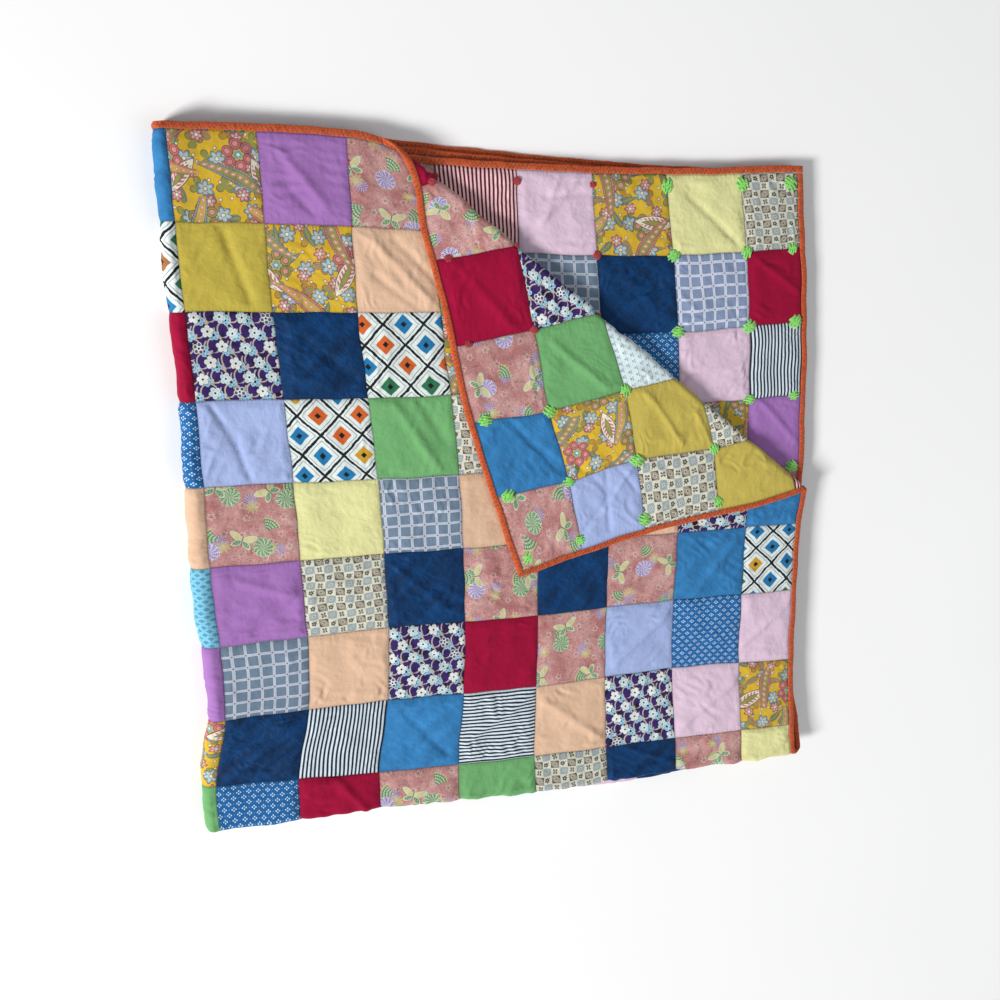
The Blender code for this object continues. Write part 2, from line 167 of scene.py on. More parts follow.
@dataclass(frozen=True)
class QuiltFold:
    """How the flat quilt lies in the pack: folded up along the bottom, then along the left, its corner turned back."""

    patch: float = PATCH
    columns: int = 8
    rows_to_fold: float = 8.5
    last_column: float = 0.096
    thickness: float = 0.0045
    valley: float = 0.0008
    crown: float = 0.0015
    pitch: float = 0.010
    roll_radius: float = 0.0055
    fold_start: Pair = (0.335, -0.034)
    fold_end: Pair = (1.000, -0.581)
    bulge: float = 0.22
    bulge_reach: float = 0.055
    settle: float = 0.12
    settle_reach: float = 0.060
    binding_width: float = 0.011
    under_binding: float = 0.0030
    left_axis: float = -0.0083
    origin: Pair = (-0.48092, 0.546481)
    wobble: float = 0.0016
    seam_columns: tuple[float, ...] = (-0.984, -0.750, 0.0319, 0.2859, 0.5399, 0.7939, 1.0169)
    # Where a seam really lies against an even grid, in millimetres, by row of the flat quilt
    across_drift: Table = (
        # row, then: hidden edge, outer half, seam 0, seam 2, seam 4, seam 6, seam 8
        (-8.5, -30, -15, -2, -20, -27, -43, -46),
        (-6.5, -15, 0, 4, -10, -22, -17, -24),
        (-4.5, -10, 0, 9, -5, -10, -12, -17),
        (-1.5, -5, -5, 7, 0, 0, -5, -22),
        (0.0, -10, -10, -26, -14, 3, 5, 5),
        (0.5, -10, -10, -23, -12, 1, 5, 3),
        (1.5, 0, 0, 4, 8, 7, -4, -4),
        (3.5, 0, 0, 5, 15, 13, 1, -3),
        (4.5, 0, 0, 6, 11, 13, 0, 5),
        (6.5, 0, 0, 0, -6, -9, -6, -1),
        (8.5, -12, 0, -6, -8, -14, -10, 12),
    )
    up_drift: Table = (
        (-8.5, -70, -62, -14, -34, -52, -61, -59),
        (-6.5, -45, -40, -5, -20, -40, -49, -39),
        (-4.5, -20, -15, 0, -10, -25, -30, -31),
        (-1.5, -2, -10, 0, 0, -6, -8, -8),
        (0.0, -5, -25, -9, -2, -10, -2, 0),
        (0.5, -2, -12, 13, 1, -4, -2, -4),
        (1.5, 0, -5, -1, 2, -2, 6, -3),
        (3.5, -10, -4, 2, 0, -1, -3, -4),
        (4.5, -20, -8, 2, -4, -6, -12, -36),
        (6.5, -40, -20, 9, -1, -8, -22, -20),
        (8.5, -66, -55, 4, -6, -38, -40, -64),
    )
    # How far the left fold stands in, in millimetres, by the height below the top edge
    left_tuck: tuple[Pair, ...] = (
        (-1.08, 5), (-0.98, 1), (-0.88, -5), (-0.48, -5), (-0.38, 0), (-0.16, 2.5), (-0.09, 5.5), (0.0, 9),
    )
    # How far the lower pair's bottom fold stands in, in millimetres, by the place across
    under_tuck: tuple[Pair, ...] = (
        (0.0, 0), (0.12, 4), (0.25, 8), (0.42, 11), (0.55, 9), (0.66, 3), (0.78, 3), (0.90, 6), (1.00, 6),
    )
    # The dip in the top edge where it turns into the roll: its place across, its half width and its depth
    edge_dip: tuple[float, float, float] = (0.405, 0.060, 0.018)
    # How far the seams on the turned-back corner lie off the front's, across and up, in millimetres
    slide_columns: tuple[float, ...] = (0.4129, 0.5399, 0.6669, 0.7939, 0.9209, 1.0169)
    slide_across: Table = (
        (3.5, 0, 0, 0, 0, 0, 0),
        (4.5, 0, 0, -4, -7, -8, 0),
        (5.5, -5, -5, -7, -7, -8, 0),
        (6.5, -10, -5, -7, -7, -19, 0),
        (7.5, -4, -3, -2, -2, -15, 0),
        (8.5, 10, -7, -3, -12, -22, 0),
    )
    slide_up: Table = (
        (3.5, 0, 0, 0, 0, 0, 0),
        (4.5, 0, 0, -6, -12, -12, -10),
        (5.5, -4, -4, -4, -12, -12, 1),
        (6.5, -8, -8, -4, -12, -10, -6),
        (7.5, -8, -14, -9, -2, -7, -2),
        (8.5, 0, 0, 0, 0, 0, 0),
    )
    # Broad troughs (below 0) and ridges in the top of the pack: from (x, y), to (x, y), height and half width
    creases: tuple[tuple[Pair, Pair, float, float], ...] = (
        ((0.02, -0.13), (0.24, -0.26), -0.0022, 0.040),
        ((0.08, -0.42), (0.26, -0.62), -0.0020, 0.045),
        ((0.10, -0.98), (0.46, -0.74), 0.0024, 0.045),
        ((0.58, -0.96), (0.90, -0.76), 0.0022, 0.045),
        ((0.02, -0.84), (0.30, -0.88), -0.0020, 0.040),
    )

    @property
    def inner_arc(self) -> float:
        """A quarter of a hairpin, along the cloth's middle."""
        return QUARTER * self.pitch / 2

    @property
    def outer_arc(self) -> float:
        """A quarter of the wrap around a hairpin, along the cloth's middle."""
        return QUARTER * self.pitch * 1.5

    @property
    def seam_0(self) -> float:
        """The first seam beside the left fold."""
        return self.outer_arc - self.left_axis

    @property
    def open_edge(self) -> float:
        """The cloth's edge on the open side."""
        return self.seam_0 + (self.columns - 1) * self.patch + self.last_column

    @property
    def hidden_edge(self) -> float:
        """The cloth's other side edge, under the pack."""
        return self.seam_0 - self.columns * self.patch

    @property
    def top_edge(self) -> float:
        """The cloth's top edge; its bottom edge is as far the other way."""
        return self.rows_to_fold * self.patch

    @property
    def seam_half(self) -> float:
        """Half the cloth's thickness on a seam and at its rim."""
        return self.thickness / 2 - self.valley

    @property
    def stack_top(self) -> float:
        """The pack's height above its middle gap."""
        return self.pitch * 1.5 + self.thickness / 2

    @property
    def roll_length(self) -> float:
        """The length of cloth in the turned-back corner's roll."""
        return math.pi * self.roll_radius

    @property
    def roll_along(self) -> Array:
        """The direction of the turned-back corner's fold, from above."""
        run = np.subtract(self.fold_end, self.fold_start)
        return run / np.linalg.norm(run)

    @property
    def roll_across(self) -> Array:
        """The direction across that fold, towards the corner that was turned back."""
        return np.array((-self.roll_along[1], self.roll_along[0]))

    @property
    def roll_start(self) -> Array:
        """A point on the line where the roll begins."""
        return np.array(self.fold_start) - (self.roll_radius + self.thickness / 2) * self.roll_across

    @staticmethod
    def smooth_table(stations: Array, rows: Array, place: Array) -> Array:
        """Reads a smooth curve through each column of rows.

        Args:
            stations: Where the rows stand.
            rows: One value a station, or many.
            place: Where to read, one place for each column of rows.

        Returns:
            The values at those places.
        """
        slopes = np.gradient(rows, stations, axis=0)
        place = np.clip(place, stations[0], stations[-1])
        low = np.clip(np.searchsorted(stations, place) - 1, 0, len(stations) - 2)
        step = stations[low + 1] - stations[low]
        t = (place - stations[low]) / step
        pick = (low,) if rows.ndim == 1 else (low, np.arange(len(place)))
        after = (low + 1,) if rows.ndim == 1 else (low + 1, np.arange(len(place)))
        return ((2 * t**3 - 3 * t**2 + 1) * rows[pick] + (t**3 - 2 * t**2 + t) * step * slopes[pick]
                + (3 * t**2 - 2 * t**3) * rows[after] + (t**3 - t**2) * step * slopes[after])

    def drift(self, table: Table, columns: tuple[float, ...], across: Array,
              up: Array) -> Array:
        """Reads a table of shifts in millimetres smoothly; each row starts with its place up in patches."""
        rows = np.array([self.smooth_table(np.array(columns), np.array(line[1:], float), across) for line in table])
        return self.smooth_table(np.array([line[0] for line in table]) * self.patch, rows, up) / 1000

    def across_shift(self, across: Array, up: Array) -> Array:
        """How far points of the flat quilt lie off the even grid across it."""
        return self.drift(self.across_drift, self.seam_columns, across, up)

    def up_shift(self, across: Array, up: Array) -> Array:
        """How far points of the flat quilt lie off the even grid up it, with the dip in its top edge.

        Args:
            across: Places across.
            up: Places up.

        Returns:
            The shifts, in metres.
        """
        middle, reach, depth = self.edge_dip
        dip = depth * np.exp(-((across - middle) / reach) ** 2) * ease(1 - (self.top_edge - up) / self.patch)
        return self.drift(self.up_drift, self.seam_columns, across, up) - dip

    def slide(self, across: Array, up: Array) -> tuple[Array, Array]:
        """Slides the back face's even grid to where it really lies, on the corner that is turned back.

        Args:
            across: Places across.
            up: Places up.

        Returns:
            The new places across and up.
        """
        open_layer = (across > self.slide_columns[0] - self.patch * 2) & (up > self.slide_across[0][0] * self.patch)
        aside = self.drift(self.slide_across, self.slide_columns, across, up)
        above = self.drift(self.slide_up, self.slide_columns, across, up)
        return across + np.where(open_layer, aside, 0), up + np.where(open_layer, above, 0)

    def stack_height(self, x: Array, y: Array) -> Array:
        """How much higher or lower the pack stands than its even stack.

        Args:
            x: Places from above, to the right of the left seam.
            y: Places from above, up from the top edge.

        Returns:
            The factors.
        """
        left = np.exp(-np.maximum(x - self.left_axis, 0) / self.bulge_reach)
        bottom = np.exp(-np.maximum(y + self.top_edge, 0) / self.bulge_reach)
        right = np.exp(-np.maximum(self.open_edge - self.seam_0 - x, 0) / self.settle_reach)
        top = np.exp(-np.maximum(-y, 0) / self.settle_reach)
        folded = np.maximum(left, bottom)
        height = 1 + self.bulge * folded - self.settle * np.maximum(right, top) * (1 - folded)
        for start, end, rise, reach in self.creases:
            height = height + rise / (2 * self.stack_top) * along_line(x, y, start, end, reach)
        return height

    def flat_places(self, across: Array, up: Array) -> tuple[Array, Array]:
        """Lays points of the flat quilt on the plane of the top layer, before any fold.

        Args:
            across: Places across.
            up: Places up.

        Returns:
            Their x and y from above.
        """
        x = self.left_axis + across - self.outer_arc + self.across_shift(across, up)
        y = up - self.top_edge + self.up_shift(across, up)
        return x, y

    def past_fold(self, x: Array, y: Array) -> Array:
        """How far places on the top layer's plane lie past the start of the turned-back corner's roll."""
        return (x - self.roll_start[0]) * self.roll_across[0] + (y - self.roll_start[1]) * self.roll_across[1]

    def place(self, across: Array, up: Array, depth: Array) -> Array:
        """Folds points of the flat quilt, with the first seam and the top edge as the origin.

        Args:
            across: Places across.
            up: Places up.
            depth: Heights above the cloth's middle, towards its front face.

        Returns:
            One row of x, y and z for each point.
        """
        across, up, depth = np.broadcast_arrays(*(np.asarray(value, float) for value in (across, up, depth)))
        half = self.pitch / 2
        # The bottom fold is a hairpin, and the left fold wraps the pair of layers around itself
        turn = np.clip(up / half, -QUARTER, QUARTER)
        y = -(half + depth) * np.cos(turn) + np.maximum(np.abs(up) - self.inner_arc, 0)
        radius = self.pitch + half * np.sin(turn)
        bend = np.clip(across / radius, -QUARTER, QUARTER)
        rim = self.pitch + (half + depth) * np.sin(turn)
        x = -rim * np.cos(bend) + np.maximum(np.abs(across) - QUARTER * radius, 0)
        z = rim * np.sin(bend)
        x = x + self.left_axis + self.across_shift(across, up)
        y = y + self.inner_arc - self.top_edge + self.up_shift(across, up)
        below, tucks = (np.array(values) for values in zip(*self.left_tuck))
        near_fold = np.where(across > 0, ease(1 - across / (2 * self.seam_0)), ease(1 + across / (1.6 * self.patch)))
        x = x + self.smooth_table(below, tucks / 1000, y) * near_fold
        places, tucks = (np.array(values) for values in zip(*self.under_tuck))
        near_fold = np.where(across < 0, ease(1 - np.abs(up) / self.patch), 0)
        y = y + self.smooth_table(places, tucks / 1000, x) * near_fold

        flat_x, flat_y = self.flat_places(across, up)
        open_layer = (across > self.outer_arc) & (up > self.inner_arc)
        past = np.where(open_layer, self.past_fold(flat_x, flat_y), -1.0)
        roll = np.clip(past / self.roll_radius, 0, math.pi)
        reach = (self.roll_radius - depth) * np.sin(roll) - np.maximum(past - self.roll_length, 0)
        turned = past > 0
        x = np.where(turned, flat_x + (reach - past) * self.roll_across[0], x)
        y = np.where(turned, flat_y + (reach - past) * self.roll_across[1], y)
        rolled = self.pitch * 1.5 + self.roll_radius - (self.roll_radius - depth) * np.cos(roll)
        z = (np.where(turned, rolled, z) + self.stack_top) * self.stack_height(x, y)
        # The cloth is a little wavy in its own plane, so that no seam runs quite straight
        x = x + self.wobble * lattice_noise(across / 0.055, up / 0.048, 3)
        y = y + self.wobble * lattice_noise(across / 0.050, up / 0.060, 8)
        return np.stack((x, y, z), axis=-1)

    def world(self, across: Array, up: Array, depth: Array) -> Array:
        """Folds points in the pack's own frame, where the solids stand, and keeps them above the floor.

        Args:
            across: Places across.
            up: Places up.
            depth: Heights above the cloth's middle, towards its front face.

        Returns:
            One row of x, y and z for each point.
        """
        points = self.place(across, up, depth) + (*self.origin, 0)
        points[..., 2] = np.maximum(points[..., 2], 0)
        return points


def along_line(x: Array, y: Array, start: Pair, end: Pair,
               reach: float) -> Array:
    """A smooth ridge of height 1 along a line.

    Args:
        x: Places from above.
        y: Places from above.
        start: One end of the line.
        end: Its other end.
        reach: The ridge's half width.

    Returns:
        The ridge's height at those places.
    """
    run = np.subtract(end, start)
    length = np.linalg.norm(run)
    along = ((x - start[0]) * run[0] + (y - start[1]) * run[1]) / length
    aside = ((y - start[1]) * run[0] - (x - start[0]) * run[1]) / length
    beyond = np.maximum(np.maximum(-along, along - length), 0)
    return np.exp(-(aside**2 + beyond**2) / reach**2)


@dataclass(frozen=True)
class ClothRelief:
    """How far the quilt's faces stand out: padding between the seams, waves, wrinkles, puckers and creases."""

    fold: QuiltFold
    shoulder: float = 0.0065
    swell: float = 0.0014
    swell_size: float = 0.085
    sag: float = 0.0018
    sag_size: float = 0.034
    wrinkle: float = 0.0019
    bunch_size: float = 0.055
    wrinkle_size: float = 0.016
    pucker: float = 0.0010
    pucker_size: float = 0.0075
    pucker_reach: float = 0.015
    pucker_start: float = 0.0025
    # How far from a seam the waves start, and the least distance of a face from the cloth's middle
    seam_reach: float = 0.014
    least: float = 0.0006
    # Creases on the faces that show, in millimetres: from x, y to x, y, height (below 0 a trough), half width
    front_creases: Table = (
        (59, -125, 93, -231, -3.1, 7.4), (23, -382, 54, -437, -3.7, 4.9),
        (54, -437, 74, -505, -3.6, 4.9), (151, -24, 209, -99, 3.1, 6.6),
        (161, -78, 194, -113, -2.6, 5.7), (274, -150, 357, -239, 3.7, 6.6),
        (308, -150, 373, -218, -3.1, 5.7), (276, -200, 341, -254, -2.6, 5.7),
        (297, -396, 363, -503, 3.4, 7.4), (336, -390, 373, -456, -2.6, 6.6),
        (122, -1036, 166, -1011, 3.6, 6.6), (166, -1011, 216, -1076, 3.1, 6.6),
        (876, -862, 980, -782, 3.4, 7.4), (653, -861, 746, -782, 3.1, 7.4),
        (784, -990, 880, -920, 3.1, 7.4), (389, -979, 516, -897, 3.6, 7.4),
        (9, -981, 101, -912, 3.4, 12.3), (785, -760, 868, -659, 2.9, 6.6),
        (161, -635, 252, -577, 2.4, 7.4), (38, -723, 121, -678, 2.6, 8.2),
        (530, -918, 624, -995, 2.9, 7.4), (289, -663, 374, -739, 2.6, 6.6),
        (288, -911, 356, -993, -2.9, 6.6), (891, -1099, 991, -1041, 2.9, 6.6),
        (660, -1062, 790, -1046, -3.6, 6), (690, -1030, 772, -1066, 3.4, 6),
        (164, -290, 236, -352, -2.8, 7.5), (150, -345, 205, -362, 2.6, 6.5),
        (308, -790, 372, -838, -3, 7), (45, -660, 148, -700, 2.6, 7),
        (60, -745, 140, -690, -2.6, 7),
    )
    back_creases: Table = (
        (475, -435, 555, -529, -4, 7.4), (575, -518, 628, -568, -2.6, 4.1),
        (627, -531, 636, -623, -3.4, 4.1), (677, -528, 628, -593, 2.4, 4.1),
        (585, -633, 643, -569, -2.6, 4.1), (629, -518, 691, -581, -2.1, 4.1),
        (775, -444, 821, -530, 2.9, 4.9), (821, -530, 864, -475, -2.9, 4.9),
        (689, -407, 752, -496, 2.6, 5.7), (541, -313, 627, -391, 3.1, 6.6),
        (395, -193, 480, -291, 2.6, 7.4), (450, -458, 507, -413, 2.6, 6.6),
        (774, -91, 861, -169, -3.7, 5.7), (535, -127, 600, -55, 2.8, 6),
        (545, -110, 568, -47, 2, 5), (542, -92, 612, -86, -2, 5),
        (500, -132, 540, -119, 1.9, 6), (897, -196, 970, -246, 3.4, 4.9),
        (664, -203, 720, -270, 2.9, 6.6), (908, -421, 975, -493, 2.9, 5.7),
    )

    def padding(self, spot: "PatchSpot", across: Array, up: Array) -> Array:
        """How high a patch's padding stands over its seams.

        Args:
            spot: The patch.
            across: Places across.
            up: Places up.

        Returns:
            Shares from 0 on a seam to about 1 in the patch's middle.
        """
        sides = (across - spot.left, spot.right - across, up - spot.bottom, spot.top - up)
        rises = [1 - np.exp(-np.maximum(gap, 0) / self.shoulder) for gap in sides]
        return rises[0] * rises[1] * rises[2] * rises[3]

    def depth(self, spot: "PatchSpot", across: Array, up: Array) -> Array:
        """How far a patch's face lies from the cloth's middle, outwards above 0.

        Args:
            spot: The patch.
            across: Places across.
            up: Places up.

        Returns:
            The distances, in metres.
        """
        fold = self.fold
        padding = self.padding(spot, across, up)
        pressed = np.clip(np.hypot(across, up) / fold.patch, 0, 1)
        depth = fold.seam_half + (fold.valley + fold.crown) * padding * pressed
        if not spot.shows:
            return depth
        depth = depth + self.waves(spot, across, up, padding) + self.puckers(spot, across, up, padding)
        points = fold.place(across, up, 0.0)
        creases = self.front_creases if spot.side is Side.FRONT else self.back_creases
        for start_x, start_y, end_x, end_y, rise, reach in np.array(creases) / 1000:
            ridge = along_line(points[..., 0], points[..., 1], (start_x, start_y), (end_x, end_y), reach)
            depth = depth + rise * ridge * padding
        # However deep a trough is, it stays above the cloth's middle
        over = depth - self.least
        return self.least + (over + np.hypot(over, self.least)) / 2

    def waves(self, spot: "PatchSpot", across: Array, up: Array, padding: Array) -> Array:
        """The cloth's swells and sags, and the wrinkles that run in bunches along each patch's own direction.

        Args:
            spot: The patch.
            across: Places across.
            up: Places up.
            padding: The padding's shares there.

        Returns:
            How far they stand out, in metres.
        """
        seed = self.seed(spot)
        gap = np.minimum(np.minimum(across - spot.left, spot.right - across),
                         np.minimum(up - spot.bottom, spot.top - up))
        away = ease(gap / self.seam_reach)
        swell = self.swell * lattice_noise(across / self.swell_size, up / self.swell_size, seed) * padding
        sag = self.sag * lattice_noise(across / self.sag_size, up / self.sag_size * 0.8, seed + 1) * away
        along = across * math.cos(spot.turn) + up * math.sin(spot.turn)
        aside = up * math.cos(spot.turn) - across * math.sin(spot.turn)
        bend = lattice_noise(across / self.sag_size, up / self.sag_size, seed + 5) * 0.8
        ridge = lattice_noise(along / self.wrinkle_size / 3 + bend, aside / self.wrinkle_size + bend, seed + 2)
        bunched = np.clip(0.45 + 1.2 * lattice_noise(across / self.bunch_size, up / self.bunch_size, seed + 6), 0.1, 1)
        return swell + sag + self.wrinkle * spot.softness * bunched * (1 - 2.2 * np.abs(ridge)) * away

    def puckers(self, spot: "PatchSpot", across: Array, up: Array, padding: Array) -> Array:
        """The small gathers beside the seams.

        Args:
            spot: The patch.
            across: Places across.
            up: Places up.
            padding: The padding's shares there.

        Returns:
            How far they stand out, in metres.
        """
        total = np.zeros(across.shape)
        for near, run in ((np.minimum(across - spot.left, spot.right - across), up),
                          (np.minimum(up - spot.bottom, spot.top - up), across)):
            near = np.maximum(near, 0)
            strength = np.exp(-near / self.pucker_reach) * (1 - np.exp(-near / self.pucker_start)) * padding
            total += self.pucker * strength * lattice_noise(run / self.pucker_size, near / 0.05, self.seed(spot) + 3)
        return total

    @staticmethod
    def seed(spot: "PatchSpot") -> int:
        """The number that sets one face's noise apart from the other's."""
        return 11 if spot.side is Side.FRONT else 29


@dataclass(frozen=True)
class PatchSpot:
    """One patch on one face: where it is, what it is cut from and whether it shows."""

    fold: QuiltFold
    side: Side
    column: int
    row: int
    fabric: Fabric
    quarter: int = 0
    shows: bool = True
    rolled: bool = False

    @property
    def left(self) -> float:
        """Its left seam."""
        return self.fold.seam_0 + self.column * self.fold.patch

    @property
    def right(self) -> float:
        """Its right seam, or the cloth's open edge."""
        return min(self.left + self.fold.patch, self.fold.open_edge)

    @property
    def top(self) -> float:
        """Its upper seam."""
        return self.fold.top_edge - self.row * self.fold.patch

    @property
    def bottom(self) -> float:
        """Its lower seam."""
        return self.top - self.fold.patch

    @property
    def seed(self) -> float:
        """A number of its own, for what differs from patch to patch."""
        mixed = math.sin(self.column * 12.9898 + self.row * 78.233 + (self.side is Side.BACK) * 37.719) * 43758.5453
        return mixed - math.floor(mixed)

    @property
    def turn(self) -> float:
        """The direction of its wrinkles, in radians."""
        return self.seed * math.pi

    @property
    def softness(self) -> float:
        """How strongly it wrinkles."""
        return 0.55 + 0.75 * ((self.seed * 7.31) % 1)

    def lines(self) -> tuple[Array, Array]:
        """The lines of its mesh: close where it shows, closer in a fold.

        Returns:
            Their places across and up.
        """
        across = self.between(self.left, self.right, 52 if self.shows else 4)
        up = self.between(self.bottom, self.top, 52 if self.shows else 4)
        if self.rolled:
            count = 72 if self.side is Side.BACK else 48
            across = np.linspace(self.left, self.right, count + 1)
            up = np.linspace(self.bottom, self.top, count + 1)
        if self.left < 0 < self.right:
            wrap = np.linspace(-1.25 * self.fold.outer_arc, 1.25 * self.fold.outer_arc, 41)
            across = np.array(sorted({*across[np.abs(across) > wrap[-1] + 0.001], *wrap}))
        if self.bottom < 0 < self.top:
            wrap = np.linspace(-1.6 * self.fold.inner_arc, 1.6 * self.fold.inner_arc, 27)
            up = np.array(sorted({*up[np.abs(up) > wrap[-1] + 0.001], *wrap}))
        return self.under_binding(across, -self.fold.columns * self.fold.patch + self.fold.seam_0,
                                  self.fold.open_edge), self.under_binding(up, -self.fold.top_edge, self.fold.top_edge)

    def under_binding(self, lines: Array, low: float, high: float) -> Array:
        """Adds a line under the binding where the lines reach the cloth's edge.

        Args:
            lines: The lines.
            low: The cloth's edge before them.
            high: The cloth's edge after them.

        Returns:
            All lines.
        """
        more = self.fold.under_binding
        start = [low - more] if abs(lines[0] - low) < 1e-6 else []
        end = [high + more] if abs(lines[-1] - high) < 1e-6 else []
        return np.array([*start, *lines, *end])

    @staticmethod
    def between(start: float, end: float, count: int) -> Array:
        """Lines from one seam to the next, closer beside the seams."""
        share = np.linspace(0, 1, count + 1)
        return start + (end - start) * (share - 0.06 * np.sin(2 * math.pi * share))


class PatchChart:
    """The chart of all patches on both faces."""

    def __init__(self, fold: QuiltFold) -> None:
        """Reads the charts at the head of the file.

        Args:
            fold: The fold.
        """
        self.fold = fold
        self.rows = int(2 * fold.rows_to_fold)
        self.named: dict[tuple[Side, int, int], str] = {}
        self.read(Side.FRONT, FRONT_TOP, -1, 0, 1)
        self.read(Side.FRONT, (FOLD_ROW_BELOW,), -8, int(fold.rows_to_fold), 1)
        self.read(Side.BACK, BACK_CORNER, 2, 0, 1)
        self.read(Side.BACK, BACK_UNDER, 2, self.rows - 1, -1)

    def read(self, side: Side, chart: tuple[str, ...], column: int, row: int, step: int) -> None:
        """Reads one chart.

        Args:
            side: Its face.
            chart: Its rows.
            column: The column of its first patch.
            row: The row of its first patch.
            step: The step from one of its rows to the next.
        """
        for count, line in enumerate(chart):
            for place, name in enumerate(line.split()):
                if name != ".":
                    self.named[side, column + place, row + count * step] = name

    def spots(self) -> list[PatchSpot]:
        """Lists all patches; those that no chart names follow a fixed rule.

        Returns:
            The patches.
        """
        spots = []
        kinds = [kind.value for kind in Fabric]
        for side in Side:
            for column in range(-self.fold.columns, self.fold.columns):
                for row in range(self.rows):
                    rule = kinds[(5 * column + 3 * row + 7 * (side is Side.BACK)) % len(kinds)]
                    name = self.named.get((side, column, row), rule)
                    fabric = Fabric(name[:2])
                    shows, rolled = self.seen(side, column, row)
                    spots.append(PatchSpot(self.fold, side, column, row, fabric, int(name.endswith("v")),
                                           shows, rolled))
        return spots

    def seen(self, side: Side, column: int, row: int) -> tuple[bool, bool]:
        """Finds out whether a patch shows and whether it lies in the turned-back corner's roll.

        Args:
            side: Its face.
            column: Its column.
            row: Its row.

        Returns:
            The two answers.
        """
        fold = self.fold
        probe = PatchSpot(fold, side, column, row, Fabric.RED)
        share = np.linspace(0.02, 0.98, 7)
        across, up = (grid.ravel() for grid in np.meshgrid(probe.left + share * (probe.right - probe.left),
                                                           probe.bottom + share * (probe.top - probe.bottom)))
        open_layer = column >= 0 and row < fold.rows_to_fold - 1
        past = fold.past_fold(*fold.flat_places(across, up)) if open_layer else np.full(across.shape, -1.0)
        rolled = bool(past.min() < fold.roll_length + 0.004 and past.max() > -0.012)
        if side is Side.FRONT:
            if row == int(fold.rows_to_fold) or column == -1 and row <= fold.rows_to_fold:
                return True, False
            if not open_layer:
                return False, False
            return bool(past.min() < 0) and not self.covered(across, up), rolled
        if open_layer:
            return bool(past.max() > -0.01), rolled
        if column >= 0 and row > fold.rows_to_fold:
            spots = fold.place(across, up, 0.0)
            return bool((fold.past_fold(spots[:, 0], spots[:, 1]) > -0.02).any()), False
        return False, False

    def covered(self, across: Array, up: Array) -> bool:
        """Finds out whether the turned-back corner lies over points of the top layer.

        Args:
            across: Places across.
            up: Places up.

        Returns:
            True if it hides all of them.
        """
        corner = self.fold.place(np.array([self.fold.open_edge]), np.array([self.fold.top_edge]), 0.0)[0, :2]
        triangle = np.array((self.fold.fold_start, corner, self.fold.fold_end))
        spots = self.fold.place(across, up, 0.0)[:, :2]
        inside = np.full(len(spots), True)
        for count in range(3):
            start, end = triangle[count], triangle[(count + 1) % 3]
            run = end - start
            aside = (run[0] * (spots[:, 1] - start[1]) - run[1] * (spots[:, 0] - start[0])) / np.linalg.norm(run)
            inside &= aside > 0.012
        return bool(inside.all())


class Field:
    """A number, colour or place that nodes work out at each point of a cloth."""

    def __init__(self, board: "NodeBoard", socket: bpy.types.NodeSocket) -> None:
        """Keeps the socket that gives the value."""
        self.board = board
        self.socket = socket

    def __add__(self, other: "Value") -> "Field":
        """The sum."""
        return self.board.math("ADD", self, other)

    def __radd__(self, other: "Value") -> "Field":
        """The sum."""
        return self.board.math("ADD", other, self)

    def __sub__(self, other: "Value") -> "Field":
        """The difference."""
        return self.board.math("SUBTRACT", self, other)

    def __rsub__(self, other: "Value") -> "Field":
        """The difference."""
        return self.board.math("SUBTRACT", other, self)

    def __mul__(self, other: "Value") -> "Field":
        """The product."""
        return self.board.math("MULTIPLY", self, other)

    def __rmul__(self, other: "Value") -> "Field":
        """The product."""
        return self.board.math("MULTIPLY", other, self)

    def __truediv__(self, other: "Value") -> "Field":
        """The quotient."""
        return self.board.math("DIVIDE", self, other)

    def __pow__(self, other: "Value") -> "Field":
        """The power."""
        return self.board.math("POWER", self, other)

    def __abs__(self) -> "Field":
        """The value without its sign."""
        return self.board.math("ABSOLUTE", self)

    def __neg__(self) -> "Field":
        """The value with its sign turned."""
        return self.board.math("MULTIPLY", self, -1.0)

    def floor(self) -> "Field":
        """The whole number below."""
        return self.board.math("FLOOR", self)

    def fract(self) -> "Field":
        """What is left above the whole number below."""
        return self.board.math("FRACT", self)

    def sin(self) -> "Field":
        """The sine."""
        return self.board.math("SINE", self)

    def cos(self) -> "Field":
        """The cosine."""
        return self.board.math("COSINE", self)

    def root(self) -> "Field":
        """The square root."""
        return self.board.math("SQRT", self)

    def low(self, other: "Value") -> "Field":
        """The smaller of two values."""
        return self.board.math("MINIMUM", self, other)

    def high(self, other: "Value") -> "Field":
        """The larger of two values."""
        return self.board.math("MAXIMUM", self, other)

    def inside(self, edge: "Value" = 0.0, soft: float = 0.35) -> "Field":
        """1 where the value is under the edge and 0 over it, with a soft step between."""
        return self.board.math("MULTIPLY_ADD", self - edge, -1.0 / soft, 0.5, clamp=True)

    def near(self, middle: "Value", half: float, soft: float = 0.35) -> "Field":
        """1 where the value is within half of the middle."""
        return abs(self - middle).inside(half, soft)


Value = Field | float


